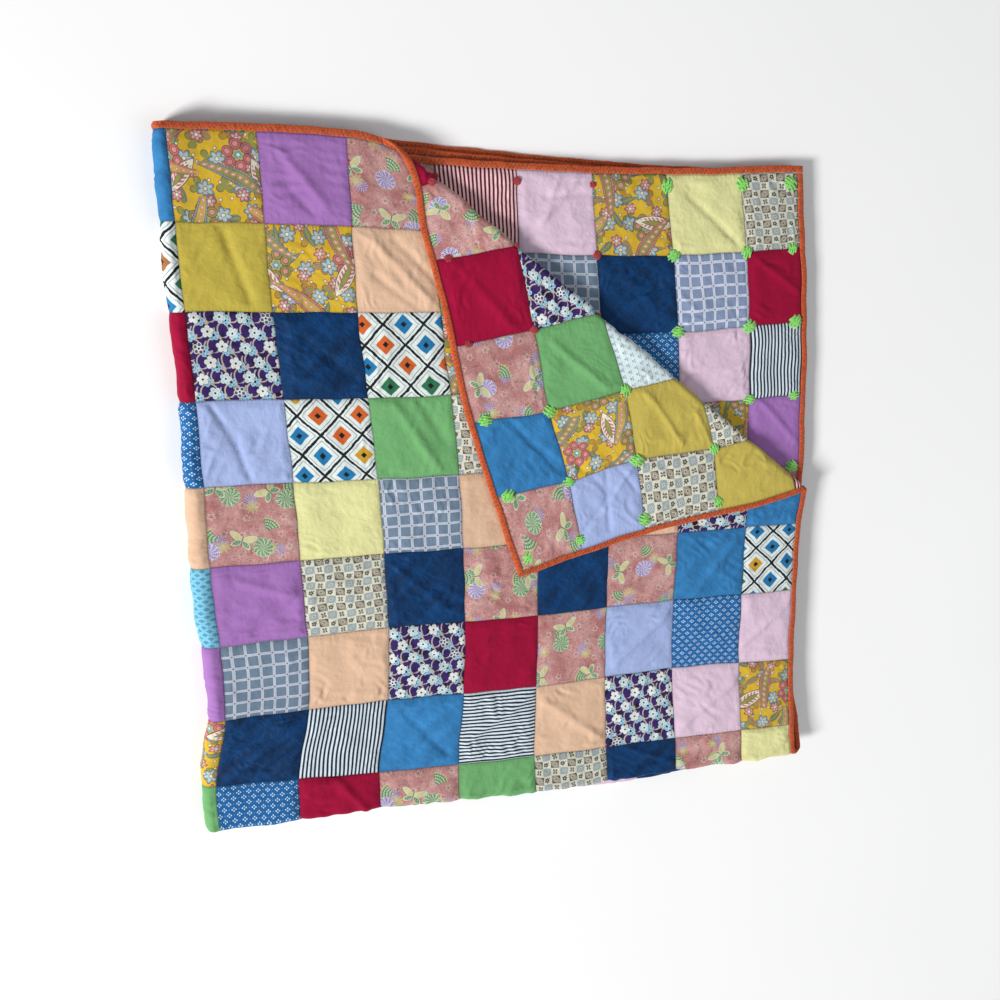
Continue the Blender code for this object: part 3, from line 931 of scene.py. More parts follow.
@dataclass(frozen=True)
class Motif:
    """One repeat of a motif: where a point lies in it, and three numbers that belong to that repeat."""

    x: Field
    y: Field
    picks: tuple[Field, Field, Field]

    @property
    def reach(self) -> Field:
        """The distance from the motif's middle."""
        return (self.x * self.x + self.y * self.y).root()

    @property
    def angle(self) -> Field:
        """The direction from the motif's middle, in radians."""
        return self.x.board.math("ARCTAN2", self.y, self.x)

    def moved(self, x: float, y: float) -> "Motif":
        """The same motif with its middle moved."""
        return Motif(self.x - x, self.y - y, self.picks)

    def turned(self, angle: float) -> "Motif":
        """The same motif turned around its middle."""
        cos, sin = math.cos(angle), math.sin(angle)
        return Motif(self.x * cos + self.y * sin, self.y * cos - self.x * sin, self.picks)

    def flower(self, petals: int, size: Value, depth: float = 0.2) -> Field:
        """How far points lie outside a flower with this many round petals, below 0 inside."""
        wave = abs((self.angle * (petals / 2)).cos())
        return self.reach - (wave * depth + (1 - depth)) * size

    def petals(self, count: int, ring: float, size: float) -> Field:
        """How far points lie outside a ring of round petals, below 0 inside one."""
        turn = ((self.angle * (count / (2 * math.pi))).fract() - 0.5) * (2 * math.pi / count)
        return Motif(self.reach * turn.cos() - ring, self.reach * turn.sin(), self.picks).reach - size

    def oval(self, long: float, wide: float) -> Field:
        """How far points lie outside a pointed oval that lies along x, below 0 inside."""
        share = self.x * (1 / long)
        return abs(self.y) - (1 - share * share) * wide

    def ellipse(self, long: float, wide: float) -> Field:
        """Roughly how far points lie outside an ellipse, below 0 inside."""
        stretched = Motif(self.x * (1 / long), self.y * (1 / wide), self.picks)
        return (stretched.reach - 1) * min(long, wide)

    def curl(self, long: float, wide: float, bend: float) -> Field:
        """The level of a bent drop, whose tip swings aside.

        Args:
            long: Its length.
            wide: Half its width, about.
            bend: How far its tip swings.

        Returns:
            0 along its middle line, 1 at its edge and more outside.
        """
        share = (self.x * (1 / long) + 0.5)
        inner = share.high(0.0).low(1.0)
        aside = self.y - inner * inner * bend
        half = ((inner * (1 - inner)).root() * (1.9 - inner * 1.15)).high(0.02) * wide
        outside = abs(share - 0.5).high(0.5) - 0.5
        return abs(aside) / half + outside * 30


class NodeBoard:
    """A material's nodes, written as sums."""

    def __init__(self, name: str) -> None:
        """Makes an empty material with its shader and output.

        Args:
            name: The material's name.
        """
        self.material = bpy.data.materials.new(name)
        self.material.use_nodes = True
        self.tree = self.material.node_tree
        self.shader = self.tree.nodes["Principled BSDF"]

    def node(self, kind: str, **settings: object) -> bpy.types.Node:
        """Adds a node.

        Args:
            kind: Its type.
            settings: Its properties.

        Returns:
            The node.
        """
        node = self.tree.nodes.new(kind)
        for name, value in settings.items():
            setattr(node, name, value)
        return node

    def feed(self, socket: bpy.types.NodeSocket, value: "Value | Colour") -> None:
        """Gives a socket its value.

        Args:
            socket: The socket.
            value: A field, which is linked, or a number or colour, which is set.
        """
        if isinstance(value, Field):
            self.tree.links.new(value.socket, socket)
        elif isinstance(value, tuple):
            socket.default_value = (*value, 1) if socket.type == "RGBA" else value
        else:
            socket.default_value = value

    def shade(self, **values: float) -> None:
        """Sets the shader's sockets, each named with _ for a blank."""
        for name, value in values.items():
            self.shader.inputs[name.replace("_", " ")].default_value = value

    def math(self, operation: str, *values: "Value", clamp: bool = False) -> Field:
        """Adds a Math node.

        Args:
            operation: What it does.
            values: What it is fed.
            clamp: Whether it keeps its result between 0 and 1.

        Returns:
            The result.
        """
        node = self.node("ShaderNodeMath", operation=operation, use_clamp=clamp)
        for socket, value in zip(node.inputs, values):
            self.feed(socket, value)
        return Field(self, node.outputs[0])

    def mix(self, share: "Value", first: "Field | Colour", second: "Field | Colour", blend: str = "MIX") -> Field:
        """Mixes two colours.

        Args:
            share: How much of the second there is, from 0 to 1.
            first: The colour at 0.
            second: The colour at 1.
            blend: How they are mixed.

        Returns:
            The mixed colour.
        """
        node = self.node("ShaderNodeMix", data_type="RGBA", blend_type=blend)
        self.feed(node.inputs["Factor"], share)
        self.feed(node.inputs[6], first)
        self.feed(node.inputs[7], second)
        return Field(self, node.outputs[2])

    def join(self, x: "Value", y: "Value", z: "Value" = 0.0) -> Field:
        """Joins three numbers.

        Args:
            x: The first.
            y: The second.
            z: The third.

        Returns:
            The place or colour that they give.
        """
        node = self.node("ShaderNodeCombineXYZ")
        for socket, value in zip(node.inputs, (x, y, z)):
            self.feed(socket, value)
        return Field(self, node.outputs[0])

    def split(self, place: Field) -> tuple[Field, Field, Field]:
        """Splits a place or colour.

        Args:
            place: The place or colour.

        Returns:
            Its three numbers.
        """
        node = self.node("ShaderNodeSeparateXYZ")
        self.feed(node.inputs[0], place)
        return tuple(Field(self, socket) for socket in node.outputs)

    def map_place(self, name: str, scale: float) -> tuple[Field, Field]:
        """The two coordinates of one of the piece's own UV maps, times scale."""
        x, y, _ = self.split(Field(self, self.node("ShaderNodeUVMap", uv_map=name).outputs[0]))
        return x * scale, y * scale

    def object_place(self, scale: float) -> tuple[Field, Field, Field]:
        """The three object coordinates, times scale."""
        place = Field(self, self.node("ShaderNodeTexCoord").outputs["Object"])
        return tuple(value * scale for value in self.split(place))

    def attribute(self, name: str) -> Field:
        """A number that each point of the mesh carries."""
        return Field(self, self.node("ShaderNodeAttribute", attribute_name=name).outputs["Fac"])

    def noise(self, x: "Value", y: "Value", size: float = 1.0, detail: float = 2.0, rough: float = 0.5,
              layer: float = 0.0) -> Field:
        """Adds smooth noise.

        Args:
            x: Places in the first direction.
            y: Places in the second direction.
            size: The size of its bumps.
            detail: How many finer layers it has.
            rough: How strong those are.
            layer: A number that sets it apart from other noise.

        Returns:
            Values from 0 to 1.
        """
        node = self.node("ShaderNodeTexNoise")
        node.inputs["Scale"].default_value = 1 / size
        node.inputs["Detail"].default_value = detail
        node.inputs["Roughness"].default_value = rough
        self.feed(node.inputs["Vector"], self.join(x, y, layer))
        return Field(self, node.outputs["Fac"])

    def picks(self, x: "Value", y: "Value", layer: float = 0.0) -> tuple[Field, Field, Field]:
        """Draws three numbers that belong to a place.

        Args:
            x: The place in the first direction.
            y: The place in the second direction.
            layer: A number that sets them apart from other draws.

        Returns:
            Three numbers from 0 to 1.
        """
        node = self.node("ShaderNodeTexWhiteNoise", noise_dimensions="3D")
        self.feed(node.inputs["Vector"], self.join(x, y, layer))
        return self.split(Field(self, node.outputs["Color"]))

    def bump(self, height: Field) -> None:
        """Raises the surface.

        Args:
            height: How far, in millimetres.
        """
        node = self.node("ShaderNodeBump")
        node.inputs["Strength"].default_value = 1.0
        node.inputs["Distance"].default_value = 0.001
        self.feed(node.inputs["Height"], height)
        self.tree.links.new(node.outputs[0], self.shader.inputs["Normal"])


@dataclass
class Print:
    """A cotton's print in the making. All its places and sizes are in millimetres."""

    board: NodeBoard
    colour: Field | Colour
    # Where points lie on the bolt that the patches are cut from
    x: Field
    y: Field
    # Where points lie in their patch, and how far from its nearest seams, across and up
    in_patch: tuple[Field, Field]
    gaps: tuple[Field, Field]

    @property
    def gap(self) -> Field:
        """The distance to the patch's nearest seam."""
        return self.gaps[0].low(self.gaps[1])

    def ink(self, share: "Value", colour: "Field | Colour") -> None:
        """Prints a colour as thickly as the share says, from 0 to 1."""
        self.colour = self.board.mix(share, self.colour, colour)

    def shape(self, far: Field, rim: Colour, fill: "Field | Colour", over: float, under: float) -> None:
        """Prints a shape with a rim that reaches over its edge, and its fill from under it."""
        self.ink(far.inside(over, 0.5), rim)
        self.ink(far.inside(under, 0.5), fill)

    def either(self, pick: Field, share: float, first: Colour, second: Colour) -> Field:
        """One of two colours, by a motif's pick: the second on this share of the motifs."""
        return self.board.mix(pick.inside(share, 0.01), first, second)

    def repeat(self, shift: Pair, size: Pair, jitter: float = 0.0, spin: float = 0.0,
               layer: float = 0.5, brick: float = 0.5) -> Motif:
        """Repeats a motif in rows that are shifted so far across and up; the rest is as for repeat_at."""
        return self.repeat_at(self.x + shift[0], self.y + shift[1], size, jitter, spin, layer, brick)

    def repeat_at(self, x: Field, y: Field, size: Pair, jitter: float, spin: float, layer: float,
                  brick: float) -> Motif:
        """Repeats a motif in rows over places that were worked out before.

        Args:
            x: Places across the rows.
            y: Places up the rows.
            size: The repeat's width and height.
            jitter: How far each motif strays, as a share of a repeat.
            spin: Half the whole turn that motifs differ by, in radians.
            layer: A number that gives the motifs their own picks.
            brick: How far every other row is shifted, as a share of a repeat.

        Returns:
            The motif at each point.
        """
        board = self.board
        wide, tall = size
        row = (y * (1 / tall)).floor()
        shifted = x * (1 / wide) + board.math("MODULO", row + 1000.0, 2.0) * brick
        column = shifted.floor()
        first, second, third = board.picks(column + 0.5, row + 0.5, layer)
        near_x = (shifted - column - 0.5 - (first - 0.5) * jitter) * wide
        near_y = (y * (1 / tall) - row - 0.5 - (second - 0.5) * jitter) * tall
        if spin:
            turn = (third - 0.5) * (2 * spin)
            cos, sin = turn.cos(), turn.sin()
            near_x, near_y = near_x * cos - near_y * sin, near_x * sin + near_y * cos
        return Motif(near_x, near_y, (first, second, third))


@dataclass(frozen=True)
class Cotton:
    """A woven cotton, worn soft; a plain one has no print. Sizes on it are in millimetres."""

    name: str
    ground: Colour
    slub: float = 0.05
    fade: float = 0.07
    crumple: float = 0.40
    roughness: float = 0.85
    gloss: float = 0.12
    # How strongly a dark cotton is painted with sheen: pale streaks and broad pale bands from noise, as if its folds
    # caught the light
    painted_sheen: float = 0.0

    def print_on(self, cloth: Print) -> None:
        """Prints the motifs; a plain cotton has none."""

    def make(self) -> bpy.types.Material:
        """Makes the finish: print, threads, fading, seam shade and fine relief.

        Returns:
            The material.
        """
        board = NodeBoard(self.name)
        x, y = board.map_place("print", 1000.0)
        in_patch = board.map_place("patch", PATCH * 1000)
        gaps = tuple(place.low(PATCH * 1000 - place) for place in in_patch)
        cloth = Print(board, self.ground, x, y, in_patch, gaps)
        self.print_on(cloth)
        seam = cloth.gap.inside(0.75, 1.5)
        shaded_colour = board.mix(1.0, cloth.colour, self.wear_and_painted_light(cloth, seam), "MULTIPLY")
        board.feed(board.shader.inputs["Base Color"], shaded_colour)
        board.bump(self.relief(cloth, seam))
        board.shade(Roughness=self.roughness, Sheen_Weight=0.04, Sheen_Roughness=0.5, Specular_IOR_Level=self.gloss)
        return board.material

    def wear_and_painted_light(self, cloth: Print, seam: Field) -> Field:
        """Shades the print: uneven threads, fading, painted shade in and beside the seams, stitches beside them, and on
        dark cottons painted sheen along their folds.

        Args:
            cloth: The printed cloth.
            seam: 1 in a seam and 0 off it.

        Returns:
            A grey of about 1 to multiply the print by.
        """
        board, x, y = cloth.board, cloth.x, cloth.y
        threads = (board.noise(x * (1 / 14), y * (1 / 0.8), detail=1.0)
                   + board.noise(x * (1 / 0.8), y * (1 / 14), detail=1.0))
        blotch = board.noise(x, y, 38.0, 3.0, 0.6, 4.0)
        # The tone attribute adds each patch's random tone and, on the back face, painted light and shade by layer
        shade = (threads - 1) * self.slub * 2 + (blotch - 0.5) * self.fade * 2 + board.attribute("tone")
        # Painted shade: darker in the seams, where two patches meet in a dip, and a little darker within 9 mm of them
        shade = shade * (1 - seam * 0.45) * (1 - (1 - cloth.gap * (1 / 9)).high(0.0) * 0.10)
        beside_x, beside_y = (gap.near(1.5, 0.5, 0.5) * (run * (2 * math.pi / 3.1)).sin().inside(0.0, 0.6)
                              for gap, run in zip(cloth.gaps, reversed(cloth.in_patch)))
        shade = shade * (1 - beside_x.high(beside_y) * 0.26)
        # Painted sheen: pale streaks and broad pale bands that stand in for light caught on the folds
        if self.painted_sheen:
            along, aside = (x * 0.8 - y * 0.6) * 0.16, x * 0.6 + y * 0.8
            sheen_streak = 1 - abs(board.noise(along, aside, 17.0, 1.0, 0.5, 8.0) * 2 - 1) * 9.0
            sheen = board.noise((x + y) * 0.25, y - x, 26.0, 1.0, 0.5, 3.0) - 0.5
            shade = shade * (1 + (sheen_streak.high(0.0) * 0.5 + sheen * 2.2) * self.painted_sheen)
        return board.join(shade, shade, shade)

    def relief(self, cloth: Print, seam: Field) -> Field:
        """The fine relief: puckers beside the seams, crumples and weave.

        Args:
            cloth: The printed cloth.
            seam: 1 in a seam and 0 off it.

        Returns:
            The height in millimetres.
        """
        board, x, y = cloth.board, cloth.x, cloth.y
        near_x, near_y = ((1 - gap * (1 / 15)).high(0.0) for gap in cloth.gaps)
        across, up = cloth.in_patch
        pucker = near_x * near_x * (board.noise(across * (1 / 30), up * (1 / 4.2), 1.0, 1.0) - 0.5)
        pucker = pucker + near_y * near_y * (board.noise(across * (1 / 4.2), up * (1 / 30), 1.0, 1.0, 0.5, 7.0) - 0.5)
        creased = 1 - abs(board.noise(x, y, 21.0, 2.0, 0.55, 2.0) * 2 - 1) * 1.6
        soft = board.noise(x, y, 8.0, 2.0, 0.5, 9.0)
        weave = (x * (2 * math.pi / 0.62)).sin() * (y * (2 * math.pi / 0.62)).sin()
        return pucker * 1.2 + creased * creased * self.crumple + soft * self.crumple + weave * 0.012 - seam * 0.25


@dataclass(frozen=True)
class StripedCotton(Cotton):
    """Woven stripes, half of the second colour."""

    stripe: Colour = (0, 0, 0)
    pitch: float = 6.3

    def print_on(self, cloth: Print) -> None:
        """Weaves stripes along x."""
        wave = abs((cloth.y * (1 / self.pitch)).fract() - 0.5) * self.pitch
        cloth.ink(wave.inside(self.pitch / 4, 0.5), self.stripe)


@dataclass(frozen=True)
class DottedCotton(Cotton):
    """Small diamonds of four dots on a plain ground."""

    dot: Colour = (1, 1, 1)
    step: float = 15.0
    spread: float = 2.7
    size: float = 1.0

    def print_on(self, cloth: Print) -> None:
        """Prints the dots, staggered, with a paler one between the groups.

        Args:
            cloth: The cloth.
        """
        cell = (self.step, self.step / 2)
        spot = cloth.repeat((0.0, 0.0), cell)
        folded = Motif(abs(spot.x), abs(spot.y), spot.picks)
        diamond = folded.moved(self.spread, 0).reach.low(folded.moved(0, self.spread * 0.75).reach)
        seed = cloth.repeat((self.step / 2, 0.0), cell).reach
        cloth.ink(diamond.inside(self.size, 0.6).high(seed.inside(self.size * 0.5, 0.5) * 0.5), self.dot)


@dataclass(frozen=True)
class CheckedCotton(Cotton):
    """A woven windowpane check: pale double bands, with a red-brown dot where they cross."""

    band: Colour = (1, 1, 1)
    line: Colour = (0, 0, 0)
    dot: Colour = (0.2, 0.02, 0.02)
    cell: float = 20.0
    half_band: float = 2.2

    def print_on(self, cloth: Print) -> None:
        """Weaves cells of fine lines between the bands.

        Args:
            cloth: The cloth.
        """
        fine = [(run * (1 / 1.7)).fract().near(0.5, 0.22, 0.2) for run in (cloth.x, cloth.y)]
        near = [abs((run * (1 / self.cell)).fract() - 0.5) * self.cell for run in (cloth.x, cloth.y)]
        cloth.ink(fine[0].high(fine[1]) * 0.5, self.line)
        bands, core = (near[0].inside(half, soft).high(near[1].inside(half, soft))
                       for half, soft in ((self.half_band, 0.7), (0.5, 0.5)))
        cloth.ink(bands * 0.72, self.band)
        cloth.ink(core * 0.35, self.ground)
        edge = self.half_band + 0.7
        beside = near[0].near(edge, 0.3, 0.4).high(near[1].near(edge, 0.3, 0.4)) * 0.4
        cloth.ink(beside * (1 - bands), self.line)
        cloth.ink(near[0].high(near[1]).inside(1.3, 0.7) * 0.8, self.dot)


@dataclass(frozen=True)
class LatticeCotton(Cotton):
    """A bold generic print on white: a slanting black lattice with a coloured diamond in each opening."""

    black: Colour = (0.012, 0.014, 0.018)
    colours: tuple[Colour, ...] = ((0.02, 0.19, 0.42), (0.60, 0.33, 0.03), (0.64, 0.13, 0.03), (0.03, 0.17, 0.08))
    step: float = 62.0

    def print_on(self, cloth: Print) -> None:
        """Prints the diamonds, the lattice and its fine second line.

        Args:
            cloth: The cloth.
        """
        board, x, y = cloth.board, cloth.x, cloth.y
        half_root = math.sqrt(0.5)
        wave = board.noise(x, y, 15.0, 2.0) * 5.0 - 2.5
        side = self.step * half_root
        spot = cloth.repeat_at((x + y + wave) * half_root, (y - x + wave) * half_root, (side, side), 0.0, 0.0, 0.5, 0.0)
        edge = (side / 2 - abs(spot.x)).low(side / 2 - abs(spot.y))
        brush = board.noise(x, y, 5.0, 1.0, 0.5, 3.0) * 2.0
        fill: Field | Colour = self.colours[0]
        for count, colour in enumerate(self.colours[1:]):
            fill = board.mix((spot.picks[2] * -1.0).inside(-(count + 1) / len(self.colours), 0.01), fill, colour)
        size = abs(spot.x).high(abs(spot.y))
        cloth.ink(size.inside(10.5, 0.8), fill)
        cloth.ink(size.inside(3.4, 0.6), self.black)
        cloth.ink(edge.inside(brush + 0.9, 0.6).high(edge.near(5.4, 0.45, 0.5) * 0.8), self.black)


@dataclass(frozen=True)
class FoulardCotton(Cotton):
    """A small neat print: a chequer of leaves, brown and blue-grey row by row, and sprigs on the pale cells."""

    brown: Colour = (0.075, 0.055, 0.036)
    taupe: Colour = (0.30, 0.27, 0.22)
    slate: Colour = (0.20, 0.26, 0.30)
    grey: Colour = (0.28, 0.35, 0.39)
    mark: Colour = (0.05, 0.045, 0.040)
    cell: Pair = (14.4, 12.9)

    def print_on(self, cloth: Print) -> None:
        """Prints the leaves on every other cell of a grid and the sprigs on the cells between.

        Args:
            cloth: The cloth.
        """
        wide, tall = self.cell
        pair = (wide * 2, tall * 2)
        self.leaves(cloth, cloth.repeat((0.0, 0.0), pair, 0.04, 0.12, brick=0.0), 0.94, self.brown, self.taupe, -0.62)
        self.leaves(cloth, cloth.repeat(self.cell, pair, 0.04, 0.12, brick=0.0), 0.5, self.slate, self.grey, 0.62)
        sprig = cloth.repeat((wide, 0.0), pair, 0.08, 0.3, brick=0.0)
        flower = sprig.moved(-0.8, -0.4)
        cloth.ink(flower.flower(5, 4.2, 0.4).inside(0.0, 0.4) * 0.92, self.mark)
        cloth.ink(flower.reach.inside(1.1, 0.4) * 0.7, self.ground)
        cloth.ink(sprig.moved(2.8, 2.6).turned(0.8).ellipse(2.2, 0.8).inside(0.0, 0.4) * 0.8, self.mark)
        seeds = cloth.repeat((0.0, tall), pair, 0.08, 0.3, brick=0.0)
        four = Motif(abs(seeds.x) - 2.1, abs(seeds.y) - 2.3, seeds.picks)
        cloth.ink(four.reach.inside(1.65, 0.4) * 0.88, self.mark)
        cloth.ink(seeds.ellipse(2.6, 0.9).inside(0.0, 0.4) * 0.7, self.mark)

    def leaves(self, cloth: Print, tile: Motif, corner: float, rim: Colour, fill: Colour, lean: float) -> None:
        """Prints one kind of leaf, each on its own dark tile.

        Args:
            cloth: The cloth.
            tile: The tiles' repeat.
            corner: How dark the tiles' corners are.
            rim: The dark of the tile and the leaf's rim.
            fill: The leaf's colour.
            lean: The way that it points, in radians.
        """
        wide, tall = self.cell
        square = (abs(tile.x) * (2 / wide)).high(abs(tile.y) * (2 / tall))
        cloth.ink(square.inside(0.97, 0.08) * corner, rim)
        leaf = tile.turned(lean)
        edge, heart = leaf.oval(8.6, 5.6), leaf.oval(4.0, 1.9)
        cloth.shape(edge, rim, fill, 0.3, -0.4)
        cloth.ink(edge.near(-1.3, 0.25, 0.4) * 0.7, self.ground)
        cloth.ink(heart.inside(0.2, 0.4), self.ground)
        cloth.ink(heart.inside(-0.8, 0.4), rim)


@dataclass(frozen=True)
class BlossomCotton(Cotton):
    """Pairs of small blossoms, white and pale blue, on scallops of cream line over a purple-navy ground."""

    shade: Colour = (0.012, 0.010, 0.022)
    petal: Colour = (0.72, 0.76, 0.74)
    sky: Colour = (0.17, 0.42, 0.60)
    pale_sky: Colour = (0.42, 0.64, 0.74)
    line: Colour = (0.52, 0.45, 0.36)
    size: Pair = (34.0, 21.5)

    def print_on(self, cloth: Print) -> None:
        """Prints the scallops, then their leaves, then the blossoms.

        Args:
            cloth: The cloth.
        """
        cloth.ink((cloth.board.noise(cloth.x, cloth.y, 13.0, 1.0, 0.4, 6.0) - 0.53) * 5.0, self.shade)
        for layer in (1.5, 2.5):
            scallop = cloth.repeat((layer * 6.0, -3.0), self.size, 0.08, 0.25, layer)
            arc = abs(scallop.reach - 13.2 + layer).inside(0.85, 0.5) * (6.0 - scallop.y * (-1.0) ** int(layer))
            cloth.ink(arc.high(0.0).low(1.0) * 0.95, self.line)
        leaf = cloth.repeat((19.0, 6.0), self.size, 0.1, 0.9, 2.5)
        cloth.ink(leaf.ellipse(2.2, 4.6).inside(0.0, 0.5) * 0.9, self.line)
        blue = cloth.repeat((-7.0, 5.0), self.size, 0.12, 3.1, 3.5)
        petals = blue.petals(5, 4.9, 3.1)
        cloth.ink(petals.inside(0.0, 0.4), self.pale_sky)
        cloth.ink(petals.inside(-1.0, 0.5), self.sky)
        cloth.ink(blue.reach.inside(1.7, 0.4), self.shade)
        white = cloth.repeat((0.0, 0.0), self.size, 0.12, 3.1, 4.5)
        petals = white.petals(5, 5.6, 3.5)
        cloth.ink(petals.inside(0.5, 0.4), self.shade)
        cloth.ink(petals.inside(0.0, 0.4), self.petal)
        cloth.ink(petals.inside(-1.1, 0.4) * white.picks[2].inside(0.72, 0.01) * 0.9,
                  cloth.either(white.picks[0], 0.7, self.ground, self.pale_sky))
        cloth.ink(white.reach.inside(3.2, 0.4), self.petal)
        cloth.ink(white.reach.inside(1.6, 0.4), self.shade)


@dataclass(frozen=True)
class CalicoCotton(Cotton):
    """Small grey sprigs, spaced evenly."""

    sprig: Colour = (0.3, 0.32, 0.34)
    step: float = 11.0

    def print_on(self, cloth: Print) -> None:
        """Prints a little flower with two leaves in each repeat.

        Args:
            cloth: The cloth.
        """
        spot = cloth.repeat((0.0, 0.0), (self.step, self.step))
        marks = spot.moved(0, 1.2).flower(4, 2.3, 0.5).inside(0, 0.5)
        leaves = Motif(abs(spot.x) - 1.9, spot.y + 1.9, spot.picks).ellipse(2.0, 0.9).inside(0, 0.4)
        cloth.ink(marks.high(leaves) * 0.85, self.sprig)


@dataclass(frozen=True)
class PaisleyCotton(Cotton):
    """A crowded paisley on yellow: curls, rings of round petals, a white leaf oval, blue flowers, sprigs and dots."""

    dull: Colour = (0.50, 0.38, 0.07)
    outline: Colour = (0.17, 0.085, 0.06)
    white: Colour = (0.72, 0.70, 0.58)
    pink: Colour = (0.55, 0.15, 0.18)
    rose: Colour = (0.62, 0.27, 0.24)
    turquoise: Colour = (0.09, 0.30, 0.33)
    sky: Colour = (0.14, 0.33, 0.45)
    olive: Colour = (0.27, 0.28, 0.08)
    ochre: Colour = (0.42, 0.25, 0.05)

    def print_on(self, cloth: Print) -> None:
        """Prints the motifs, the smallest first and the curls over all.

        Args:
            cloth: The cloth.
        """
        cloth.ink((cloth.board.noise(cloth.x, cloth.y, 46.0, 2.0, 0.5, 6.0) - 0.56) * 2.5, self.dull)
        dot = cloth.repeat((0.0, 0.0), (12.5, 12.5), 0.6)
        shown = dot.picks[2].inside(0.42, 0.01)
        cloth.ink(dot.reach.inside(2.7, 0.5) * shown, self.outline)
        cloth.ink(dot.reach.inside(1.9, 0.5) * shown, self.white)
        sprig = cloth.repeat((5.0, 8.0), (41.0, 37.0), 0.4, 3.1, 1.5)
        tint = cloth.either(sprig.picks[0], 0.5, self.ochre, self.olive)
        cloth.shape(sprig.flower(3, 13.0, 0.86), self.outline, tint, 0.6, -0.5)
        self.small_curls(cloth)
        self.small_flowers(cloth)
        self.round_flowers(cloth)
        self.leaf_ovals(cloth)
        self.large_curls(cloth)

    def small_curls(self, cloth: Print) -> None:
        """Prints bent drops, turquoise or rose, with a fine line inside.

        Args:
            cloth: The cloth.
        """
        spot = cloth.repeat((21.0, 3.0), (43.0, 38.0), 0.3, 3.1, 7.5)
        level = spot.curl(31.0, 7.0, 8.5)
        cloth.ink(level.inside(1.1, 0.15), self.outline)
        cloth.ink(level.inside(0.92, 0.12), cloth.either(spot.picks[0], 0.5, self.turquoise, self.rose))
        cloth.ink(level.near(0.58, 0.09, 0.1), self.outline)
        cloth.ink(level.inside(0.44, 0.1), self.olive)

    def small_flowers(self, cloth: Print) -> None:
        """Prints pointed blue flowers and pink ones, each with a white middle.

        Args:
            cloth: The cloth.
        """
        for shift, size, tint, layer in ((0.0, 12.5, self.sky, 2.5), (23.0, 9.5, self.pink, 3.5)):
            spot = cloth.repeat((11.0 + shift, 19.0 - shift), (46.0, 42.0), 0.3, 3.1, layer)
            far = spot.flower(6, size, 0.5)
            cloth.shape(far, self.outline, tint, 0.9, -0.3)
            cloth.ink(far.inside(-2.4, 0.5) * 0.5, self.white)
            cloth.shape(spot.reach, self.outline, self.white, 3.4, 2.5)

    def round_flowers(self, cloth: Print) -> None:
        """Prints large flowers of six separate round petals, ringed in olive or pink, around a small blue one.

        Args:
            cloth: The cloth.
        """
        spot = cloth.repeat((33.0, 7.0), (98.0, 88.0), 0.12, 3.1, 4.5)
        petals = spot.petals(6, 15.5, 7.4)
        cloth.shape(petals, self.outline, cloth.either(spot.picks[0], 0.55, self.pink, self.olive), 0.6, -0.4)
        cloth.ink(petals.near(-3.2, 0.45, 0.4), self.outline)
        cloth.ink(petals.inside(-3.7, 0.5), self.rose)
        eye = spot.flower(6, 9.0, 0.3)
        cloth.shape(eye, self.outline, self.dull, 0.8, -0.3)
        cloth.ink(eye.inside(-2.6, 0.5), self.sky)
        cloth.ink(spot.reach.inside(2.2, 0.5), self.white)

    def leaf_ovals(self, cloth: Print) -> None:
        """Prints white pointed ovals with a green heart between rows of little pink leaves.

        Args:
            cloth: The cloth.
        """
        spot = cloth.repeat((61.0, 44.0), (108.0, 96.0), 0.12, 3.1, 5.5)
        far = spot.oval(33.0, 11.5)
        cloth.shape(far, self.outline, self.white, 0.9, -0.3)
        row = ((spot.x + abs(spot.y) * 0.9) * (1 / 7.4)).fract() - 0.5
        leaves = (abs(row) * 7.4).inside(1.9, 0.5) * abs(spot.y).near(6.2, 3.0, 0.6) * far.inside(-1.8, 0.5)
        cloth.ink(leaves, self.pink)
        cloth.shape(spot.oval(21.0, 4.2), self.outline, self.olive, 0.5, -0.3)

    def large_curls(self, cloth: Print, long: float = 92.0, bend: float = 30.0) -> None:
        """Prints broad bent drops with a coloured border, a plain body and a row of little flowers.

        Args:
            cloth: The cloth.
            long: The drops' length.
            bend: How far their tips swing.
        """
        spot = cloth.repeat((0.0, 0.0), (104.0, 74.0), 0.1, 3.1, 6.5)
        level = spot.curl(long, 14.5, bend)
        cloth.ink(level.inside(1.07, 0.08), self.outline)
        cloth.ink(level.inside(0.97, 0.08), cloth.either(spot.picks[1], 0.5, self.turquoise, self.pink))
        fringe = (spot.x * (2 * math.pi / 4.2)).sin().inside(0.0, 0.5) * level.near(0.84, 0.1, 0.06)
        cloth.ink(fringe * 0.75, self.rose)
        cloth.ink(level.inside(0.72, 0.06), self.outline)
        cloth.ink(level.inside(0.65, 0.06), cloth.either(spot.picks[0], 0.5, self.dull, self.olive))
        share = (spot.x * (1 / long) + 0.5).high(0.0).low(1.0)
        bead = Motif(((spot.x * (1 / 9.5)).fract() - 0.5) * 9.5, spot.y - share * share * bend, spot.picks)
        inner = level.inside(0.58, 0.08)
        cloth.ink(bead.petals(5, 2.2, 1.5).inside(0.0, 0.5) * inner, self.rose)
        cloth.ink(bead.reach.inside(1.1, 0.4) * inner, self.white)


